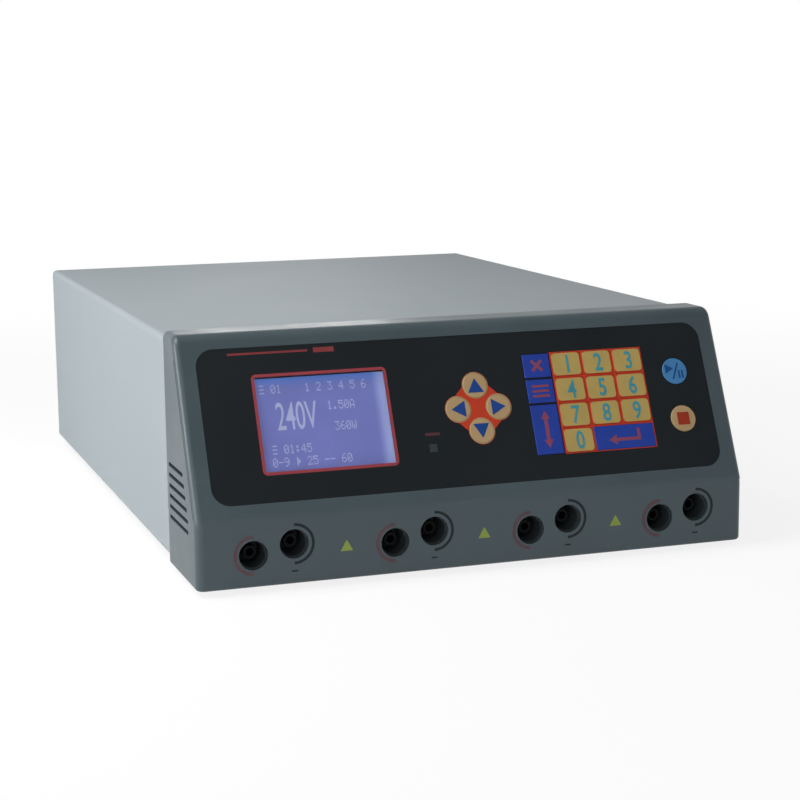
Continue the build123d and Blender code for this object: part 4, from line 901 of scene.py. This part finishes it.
# Plain signs, as bars and arrowheads with their place, size and turn: a return arrow, a cross, list
# bars, an up and down arrow, and a run and pause sign
SIGNS = {
    "key_enter": (
        (flat_bar, 1.5, -1.4, 15.0, 1.7),
        (flat_bar, 8.1, 1.0, 1.7, 6.4),
        (flat_head, -7.2, -1.4, 5.6, 4.6, math.pi / 2),
    ),
    "key_blue_upper": ((flat_bar, 0, 0, 8.0, 1.7, math.pi / 4), (flat_bar, 0, 0, 8.0, 1.7, -math.pi / 4)),
    "key_blue_middle": [(flat_bar, 0, 2.7 * k, 9.6, 1.3) for k in (-1, 0, 1)],
    "key_blue_tall": (
        (flat_bar, 0, 0, 2.0, 13.0),
        (flat_head, 0, 7.8, 5.2, 4.4),
        (flat_head, 0, -7.8, 5.2, 4.4, math.pi),
    ),
    "key_run": (
        (flat_head, -3.2, 1.5, 5.4, 4.8, -math.pi / 2),
        (flat_bar, 0.3, 0, 1.0, 9.8, math.radians(-24)),
        (flat_bar, 2.3, -1.9, 1.1, 4.4),
        (flat_bar, 4.2, -1.9, 1.1, 4.4),
    ),
}
STOP_SIDE = 7.0 * MM
STOP_CORNER = 0.4 * MM


def sign_parts(node):
    """The bars and heads of a key's sign, on XY."""
    return [make(*shape) for make, *shape in SIGNS[node]]


class SUPPLY_OT_blue_keys(bpy.types.Operator):
    """Colour the blue keys and give each a plain red mark"""

    bl_idname = "supply.blue_keys"
    bl_label = "Blue keys"

    def execute(self, context):
        blue = key_plastic("Blue key", colours().blue, contrast=0.06)
        red = ink("Red mark", "86465C")
        for node in ("key_enter", "key_blue_upper", "key_blue_middle", "key_blue_tall"):
            paint_nodes(blue, node)
            piece, *others = sign_parts(node)
            for other in others:
                cut(piece, other, "UNION")
            piece.name = node + "_mark"
            print_on_key(piece, node, red)
        return {"FINISHED"}


class SUPPLY_OT_arrow_keys(bpy.types.Operator):
    """Model the ink round the arrow keys and the arrow on each"""

    bl_idname = "supply.arrow_keys"
    bl_label = "Arrow keys"

    def execute(self, context):
        s = sizes()
        cream = key_plastic("Pale key", colours().pale)
        blue = ink("Blue ink", colours().arrow)
        turns = {"key_up": 0.0, "key_left": math.pi / 2, "key_down": math.pi, "key_right": -math.pi / 2}
        places = {node: slope_extent(node) for node in turns}
        left, right, low, high = (places["key_" + way] for way in ("left", "right", "down", "up"))
        middle_u = (left.left + right.right) / 2
        middle_v = (low.low + high.high) / 2
        radius = high.width / 2 + s.arrow_rim
        reach_u = right.right - middle_u + s.arrow_rim
        reach_v = high.high - middle_v + s.arrow_rim
        corner = radius + s.pad_rim - s.pad_waist
        side = math.sqrt(2) * (reach_u - radius) + 2 * corner
        pad = plate("arrow_pad", side, side, ink_height(), corner=corner)
        flatten = Matrix.Diagonal((1, (reach_v - radius) / (reach_u - radius), 1, 1))
        middle = Matrix.Translation((middle_u, middle_v, 0))
        settle(pad, middle @ flatten @ Matrix.Rotation(math.pi / 4, 4, "Z"))
        for key in places.values():
            cut(pad, shift(round_plate("rim", radius + s.pad_rim, ink_height()), key.u, key.v), "UNION")
        for key in places.values():
            cut(pad, shift(round_plate("hole", radius, THROUGH), key.u, key.v, -THROUGH / 2))
        finish_piece(on_slope(pad, 0, 0, film_level()), ink("Orange ink", colours().orange))
        rims = []
        for key in places.values():
            rim = round_plate("rim", radius, ink_height(), line=s.arrow_rim - s.key_gap)
            rims.append(on_slope(rim, key.u, key.v, film_level()))
        finish_piece(join("arrow_rims", rims), cream)
        for node, turn in turns.items():
            paint_nodes(cream, node)
            arrow = triangle(node + "_arrow", s.arrow_width, s.arrow_height, ink_height(), s.arrow_ease)
            print_on_key(arrow, node, blue, turn=turn)
        return {"FINISHED"}


class SUPPLY_OT_run_and_stop(bpy.types.Operator):
    """Colour the two round keys and model their signs"""

    bl_idname = "supply.run_and_stop"
    bl_label = "Run and stop keys"

    def execute(self, context):
        paint_nodes(key_plastic("Sky key", colours().sky), "key_run")
        paint_nodes(key_plastic("Pale key", colours().pale), "key_stop")
        sign = join("key_run_mark", sign_parts("key_run"))
        print_on_key(sign, "key_run", ink("Run sign", "1F4C84"))
        block = plate("key_stop_mark", STOP_SIDE, STOP_SIDE, ink_height(), corner=STOP_CORNER)
        print_on_key(block, "key_stop", ink("Stop sign", colours().red))
        return {"FINISHED"}


# The red rule starts this far left of the display and above it; its parts' middles, lengths and heights
RULE_LEFT = 9.0
RULE_UP = 9.5
RULE_PARTS = ((21.0, 42.0, 1.1), (50.5, 11.0, 2.6))
# The bar over the lamp: its size, and its place from the lamp's middle
BAR_SIZE = (8.0 * MM, 1.5 * MM)
BAR_RIGHT = 0.6 * MM
BAR_UP = 7.3 * MM
# The lamp's window, just below the film
WINDOW_SIDE = 4.2 * MM
WINDOW_THICK = 0.3 * MM
WINDOW_CORNER = 0.2 * MM
WINDOW_SUNK = 0.05 * MM


class SUPPLY_OT_film_marks(bpy.types.Operator):
    """Model the plain red rule at the top left and the bar over the lamp"""

    bl_idname = "supply.film_marks"
    bl_label = "Film marks"

    def execute(self, context):
        display = slope_extent("lcd_lens")
        start_u = display.left / MM - RULE_LEFT
        v = display.high / MM + RULE_UP
        rule = join("film_rule", [flat_bar(start_u + along, v, *size) for along, *size in RULE_PARTS])
        finish_piece(on_slope(rule, 0, 0, film_level()), ink("Film red", "823A3C"))
        lamp = slope_extent("status_led")
        bar = plate("lamp_bar", *BAR_SIZE, ink_height())
        on_slope(bar, lamp.u + BAR_RIGHT, lamp.v + BAR_UP, film_level())
        finish_piece(bar, ink("Lamp red", "52343A"))
        window = plate("lamp_window", WINDOW_SIDE, WINDOW_SIDE, WINDOW_THICK, corner=WINDOW_CORNER)
        on_slope(window, lamp.u, lamp.v, -sizes().film_depth - WINDOW_THICK - WINDOW_SUNK)
        grey = surface(
            "Lamp window", "384042", rough=0.25, grain=2500.0, depth=0.004, mottle=300.0, contrast=0.1,
            sheen=0.15,
        )
        finish_piece(window, grey)
        return {"FINISHED"}


# From a minus socket's middle down to its dash, and from the front's foot up to the triangles
DASH_DOWN = 13.8 * MM
MARK_UP = 17.4 * MM
MARK_RIGHT = 1.0 * MM


class SUPPLY_OT_socket_rings(bpy.types.Operator):
    """Model the half rings and dashes round the sockets, and the yellow triangles between the pairs"""

    bl_idname = "supply.socket_rings"
    bl_label = "Socket rings"

    def execute(self, context):
        s = sizes()
        rings = []
        for low, high in solid_boxes("minus_sockets"):
            x, z = (low.x + high.x) / 2, (low.z + high.z) / 2
            ring = arc_band("ring", s.minus_radius, s.minus_width, ink_height(), -math.pi / 2, -math.pi)
            dash = plate("dash", s.dash_length, s.dash_height, ink_height())
            rings += [on_front(ring, x, z), on_front(dash, x, z - DASH_DOWN)]
        finish_piece(join("minus_rings", rings), ink("Black ink", "1E2527"))
        rings = []
        places = []
        for low, high in solid_boxes("plus_sockets"):
            places.append((low.x + high.x) / 2)
            ring = arc_band("ring", s.plus_radius, s.plus_width, ink_height(), math.pi / 2, -math.pi)
            rings.append(on_front(ring, places[-1], (low.z + high.z) / 2))
        finish_piece(join("plus_rings", rings), ink("Dull red ink", "5A464C"))
        marks = []
        pitch = places[1] - places[0]
        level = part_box("front_bezel")[0][2] + MARK_UP
        for k in range(len(places) - 1):
            mark = triangle("mark", s.mark_width, s.mark_height, ink_height(), s.mark_ease)
            marks.append(on_front(mark, (k - 1) * pitch + MARK_RIGHT, level))
        yellow = ink("Yellow ink", colours().yellow)
        finish_piece(join("yellow_marks", marks), yellow)
        return {"FINISHED"}


# Shares of a screw's head: its dome's height, and its recess's length, width and level; and the
# chamfer's share of the shank's radius
DOME_SHARE = 0.6
ARM_LENGTH = 1.15
ARM_WIDTH = 0.26
ARM_LEVEL = 0.45
CHAMFER_SHARE = 0.25


def pan_screw(head_radius, head_height, shank_radius, reach):
    """A screw with a domed head and a cross recess; its seat is at Z = 0 and it points down."""
    add = bpy.ops.mesh.primitive_cylinder_add
    screw = new_piece("screw", add, vertices=40, radius=head_radius, depth=head_height)
    shift(screw, 0, 0, head_height / 2)
    for face in screw.data.polygons:
        face.select = face.normal.z > 0.9
    for line in screw.data.edges:
        line.select = all(screw.data.vertices[k].co.z > 0.9 * head_height for k in line.vertices)
    bpy.ops.object.mode_set(mode="EDIT")
    bpy.ops.mesh.select_mode(type="EDGE")
    bpy.ops.mesh.bevel(offset=DOME_SHARE * head_height, segments=5)
    bpy.ops.mesh.select_mode(type="VERT")
    leave()
    arms = []
    for turn in (0.0, math.pi / 2):
        arm = plate("arm", ARM_LENGTH * head_radius, ARM_WIDTH * head_radius, head_height)
        arms.append(shift(arm, 0, 0, ARM_LEVEL * head_height, turn + math.pi / 5))
    cut(arms[0], arms[1], "UNION")
    cut(screw, arms[0])
    shank = new_piece("shank", add, vertices=20, radius=shank_radius, depth=reach)
    edit(shift(shank, 0, 0, -reach / 2))
    bpy.ops.mesh.bevel(offset=CHAMFER_SHARE * shank_radius, segments=1)
    leave()
    screw = join("screw", [screw, shank])
    soften(screw)
    return screw


# Screws: head radius and height, shank radius, and the turn from one screw's recess to the next
HEAD_RADIUS = 2.8 * MM
HEAD_HEIGHT = 1.9 * MM
SHANK_RADIUS = 1.45 * MM
RECESS_TURN = 0.7


class SUPPLY_OT_screws(bpy.types.Operator):
    """Model the screws with domed heads and cross recesses"""

    bl_idname = "supply.screws"
    bl_label = "Screws"

    def execute(self, context):
        steel = surface(
            "Screw steel", "9C9C9A", rough=0.32, metal=1.0, depth=0.006, mottle=400.0, contrast=0.15,
            rough_spread=0.10,
        )
        down = Matrix.Rotation(math.pi, 4, "X")
        backward = Matrix.Rotation(-math.pi / 2, 4, "X")
        ways = {
            "cover_screws": down,
            "bezel_screws": down,
            "rear_panel_screws": backward,
            "fan_screws": backward,
            "board_screws": Matrix.Identity(4),
        }
        for node, way in ways.items():
            low, high = solid_boxes(node)[0]
            axis = (way.to_3x3() @ Vector((0, 0, 1))).normalized()
            span = abs((high - low).dot(axis))
            model = pan_screw(HEAD_RADIUS, HEAD_HEIGHT, SHANK_RADIUS, span - HEAD_HEIGHT)
            screws = []
            for k, (low, high) in enumerate(solid_boxes(node)):
                middle = (low + high) / 2
                seat = middle + axis * (span / 2 - HEAD_HEIGHT)
                screw = copy_of(model, f"{node}_{k}")
                turn = Matrix.Rotation(RECESS_TURN * k, 4, "Z")
                screws.append(settle(screw, Matrix.Translation(seat) @ way @ turn))
            bpy.data.objects.remove(model)
            piece = join(node + "_detailed", screws)
            finish_piece(piece, steel)
            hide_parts(node)
        return {"FINISHED"}


# The rocker at rest, with two dished halves: each slopes by its dish over its reach from the middle
ROCKER_TILT = math.radians(9.0)
ROCKER_FACE = 1.9 * MM
ROCKER_DISH = 1.2 * MM
ROCKER_REACH = 11.6 * MM
SIGN_PLACE = 6.2 * MM
RING_RADIUS = 2.0 * MM
RING_LINE = 0.7 * MM
BAR_SHAPE = (0.8 * MM, 4.0 * MM)


class SUPPLY_OT_rear_finish(bpy.types.Operator):
    """Finish the fan, the mains inlet and the switch, and model the signs on the rocker"""

    bl_idname = "supply.rear_finish"
    bl_label = "Rear finish"

    def execute(self, context):
        finish_nodes(
            "fan_frame fan_rotor iec_inlet fuse_drawer switch_housing", "Black plastic", "17181A",
            grain=1300.0, depth=0.03, mottle=50.0, contrast=0.12, dust=0.06,
        )
        finish_nodes(
            "switch_rocker", "Rocker plastic", "141517", rough=0.25, grain=2500.0, depth=0.004,
            mottle=120.0, contrast=0.1, coat=0.3,
        )
        finish_nodes(
            "inlet_pins", "Plated blade", "C9B98A", rough=0.28, metal=1.0, grain=2000.0, depth=0.004,
            mottle=300.0, contrast=0.10, rough_spread=0.08,
        )
        finish_nodes(
            "fuses", "Fuse glass", "C9CDCB", rough=0.12, grain=2500.0, depth=0.003, mottle=200.0
        )
        self.rocker_signs()
        return {"FINISHED"}

    def rocker_signs(self):
        """A bar and a ring in white on the two halves of the rocker."""
        joint = next(j for j in frame["joints"] if j["child"] == "switch_rocker")
        place = Matrix.Translation(Vector(joint["pos_m"])) @ Matrix.Rotation(ROCKER_TILT, 4, "X")
        out = ROCKER_FACE + ROCKER_DISH * SIGN_PLACE / ROCKER_REACH - sizes().ink_sunk
        slope = math.atan2(ROCKER_DISH, ROCKER_REACH)
        ring = round_plate("ring", RING_RADIUS, ink_height(), corners=40, line=RING_LINE)
        bar = plate("bar", *BAR_SHAPE, ink_height())
        for side, sign in ((-1, ring), (1, bar)):
            lie = Matrix.Translation((0, out, side * SIGN_PLACE))
            settle(sign, place @ lie @ Matrix.Rotation(-side * slope - math.pi / 2, 4, "X"))
        signs = join("rocker_signs", [ring, bar])
        finish_piece(signs, ink("White ink", "E4E4E0"), body="switch_rocker")


# Name, tone, roughness and metal of the pieces inside
INNER_FINISHES = {
    "lcd_module": ("Tinned frame", "8C8F92", 0.35, 1.0),
    "snap_domes": ("Spring dome", "B9BABA", 0.25, 1.0),
    "transformer_core": ("Ferrite", "2E2E31", 0.7, 0.0),
    "transformer_winding": ("Winding tape", "C9A227", 0.4, 0.0),
    "bulk_capacitors": ("Capacitor sleeve", "1C2436", 0.3, 0.0),
    "heatsinks": ("Anodised fins", "B4B7BA", 0.35, 1.0),
    "power_transistors": ("Device epoxy", "17181A", 0.5, 0.0),
    "output_choke": ("Choke wire", "8A4A22", 0.35, 0.0),
    "line_filter": ("Filter can", "A9ABAD", 0.3, 1.0),
    "ribbon_cable": ("Flat cable", "9C9D9F", 0.5, 0.0),
}


class SUPPLY_OT_inner_finish(bpy.types.Operator):
    """Finish the boards and what stands on them"""

    bl_idname = "supply.inner_finish"
    bl_label = "Inner finish"

    def execute(self, context):
        finish_nodes(
            "keypad_board output_board power_board", "Solder mask", "1F6B3C", rough=0.35, grain=900.0,
            depth=0.01, mottle=120.0, contrast=0.15,
        )
        for node, (name, tone, rough, metal) in INNER_FINISHES.items():
            finish_nodes(
                node, name, tone, rough=rough, metal=metal, grain=1200.0, depth=0.01, mottle=150.0,
                contrast=0.1,
            )
        return {"FINISHED"}


WHITE = (1.0, 1.0, 1.0, 1.0)
# Name, place, size in metres and power in watts
LAMPS = (
    ("key_light", (-0.5, -0.1, 0.8), 0.5, 6.0),
    ("left_light", (-1.25, -0.15, 0.42), 0.5, 7.5),
    ("front_light", (-1.0, -1.9, 0.45), 1.6, 8.0),
    ("rear_light", (0.4, 1.6, 0.12), 0.3, 5.0),
)
AIMED_AT = Vector((0, 0, 0.06))


class SUPPLY_OT_stage(bpy.types.Operator):
    """Set up the floor, the light and the camera"""

    bl_idname = "supply.stage"
    bl_label = "Stage"

    azimuth: angle("Azimuth", "Camera's turn round the object", -18.879)
    elevation: angle("Elevation", "Camera's height angle", 9.705)
    roll: angle("Roll", "Camera's turn round its own axis", -0.6116)
    place: FloatVectorProperty(
        name="Place", description="Where the camera stands", default=(-0.348154, -1.103416, 0.253062),
        subtype="XYZ", unit="LENGTH",
    )
    lens: FloatProperty(name="Lens", description="Focal length in millimetres", default=85.863)

    def execute(self, context):
        self.floor()
        self.world(context)
        self.lamps(context)
        self.camera(context)
        context.scene.view_settings.view_transform = "Standard"
        return {"FINISHED"}

    def floor(self):
        """A white floor that keeps a faint shadow near the object and is plain white further off."""
        floor = new_piece("floor", bpy.ops.mesh.primitive_plane_add, size=12)
        material, tree, shader, place = new_material("Floor")
        pale = spread(tree, noise(tree, place, 3.0), 0.0, 1.0, 0.90, 0.93)
        feed_all(tree, shader, {"Base Color": pale, "Roughness": 0.9, "Specular IOR Level": 0.1})
        away = tree.nodes.new("ShaderNodeVectorMath")
        away.operation = "LENGTH"
        feed(tree, away.inputs[0], place)
        fade = spread(tree, away.outputs["Value"], 0.25, 1.1, 0.84, 1.0, smooth=True)
        seen = calculate(tree, "MULTIPLY", fade, looking(tree))
        white = add_node(tree, "Emission", Color=WHITE, Strength=1.0).outputs["Emission"]
        mix_shaders(tree, seen, shader.outputs["BSDF"], white, "Material Output")
        floor.data.materials.append(material)

    def world(self, context):
        """Soft light from all round, and a backdrop that is white low down and grey above."""
        world = bpy.data.worlds.new("Studio")
        context.scene.world = world
        world.use_nodes = True
        tree = world.node_tree
        ambient = feed_all(tree, tree.nodes["Background"], {"Color": WHITE, "Strength": 0.27})
        where = tree.nodes.new("ShaderNodeTexCoord").outputs["Generated"]
        height = add_node(tree, "SeparateXYZ", Vector=where).outputs["Z"]
        strength = spread(tree, height, 0.25, 0.6, 1.0, 0.3)
        backdrop = add_node(tree, "Background", Color=WHITE, Strength=strength)
        first, other = ambient.outputs["Background"], backdrop.outputs["Background"]
        mix_shaders(tree, looking(tree), first, other, "World Output")

    def lamps(self, context):
        for name, place, size, power in LAMPS:
            lamp = bpy.data.lights.new(name, "AREA")
            lamp.size = size
            lamp.energy = power
            stand = bpy.data.objects.new(name, lamp)
            context.collection.objects.link(stand)
            stand.visible_camera = False
            aim = (AIMED_AT - Vector(place)).to_track_quat("-Z", "Y")
            stand.matrix_world = Matrix.Translation(place) @ aim.to_matrix().to_4x4()

    def camera(self, context):
        a, e = self.azimuth, self.elevation
        back = Vector((math.sin(a) * math.cos(e), -math.cos(a) * math.cos(e), math.sin(e)))
        right = Vector((0, 0, 1)).cross(back).normalized()
        level = Matrix((right, back.cross(right), back)).transposed()
        rolled = level @ Matrix.Rotation(self.roll, 3, "Z")
        camera = bpy.data.cameras.new("photo_camera")
        camera.lens = self.lens
        camera.sensor_width = 36.0
        stand = bpy.data.objects.new("photo_camera", camera)
        context.collection.objects.link(stand)
        stand.matrix_world = Matrix.Translation(Vector(self.place)) @ rolled.to_4x4()
        context.scene.camera = stand


OPERATORS = (
    SUPPLY_OT_case_finish,
    SUPPLY_OT_front_finish,
    SUPPLY_OT_display,
    SUPPLY_OT_number_block,
    SUPPLY_OT_blue_keys,
    SUPPLY_OT_arrow_keys,
    SUPPLY_OT_run_and_stop,
    SUPPLY_OT_film_marks,
    SUPPLY_OT_socket_rings,
    SUPPLY_OT_screws,
    SUPPLY_OT_rear_finish,
    SUPPLY_OT_inner_finish,
    SUPPLY_OT_stage,
)


class SUPPLY_PT_panel(bpy.types.Panel):
    """Shows the sizes, the colours and a button for each step of the power supply"""

    bl_label = "Power Supply"
    bl_idname = "SUPPLY_PT_panel"
    bl_space_type = "VIEW_3D"
    bl_region_type = "UI"
    bl_category = "Power Supply"

    def draw(self, context):
        for group in (context.scene.supply_sizes, context.scene.supply_colours):
            box = self.layout.box()
            for name in group.bl_rna.properties.keys():
                if name not in ("rna_type", "name"):
                    box.prop(group, name)
        for operator in OPERATORS:
            self.layout.operator(operator.bl_idname)


CLASSES = (SupplySizes, SupplyColours, *OPERATORS, SUPPLY_PT_panel)


def register():
    for cls in CLASSES:
        bpy.utils.register_class(cls)
    bpy.types.Scene.supply_sizes = PointerProperty(type=SupplySizes)
    bpy.types.Scene.supply_colours = PointerProperty(type=SupplyColours)


def unregister():
    del bpy.types.Scene.supply_colours
    del bpy.types.Scene.supply_sizes
    for cls in reversed(CLASSES):
        bpy.utils.unregister_class(cls)


def main():
    """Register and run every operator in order."""
    register()
    for operator in OPERATORS:
        group, name = operator.bl_idname.split(".")
        getattr(getattr(bpy.ops, group), name)()


if __name__ == "__main__":
    main()
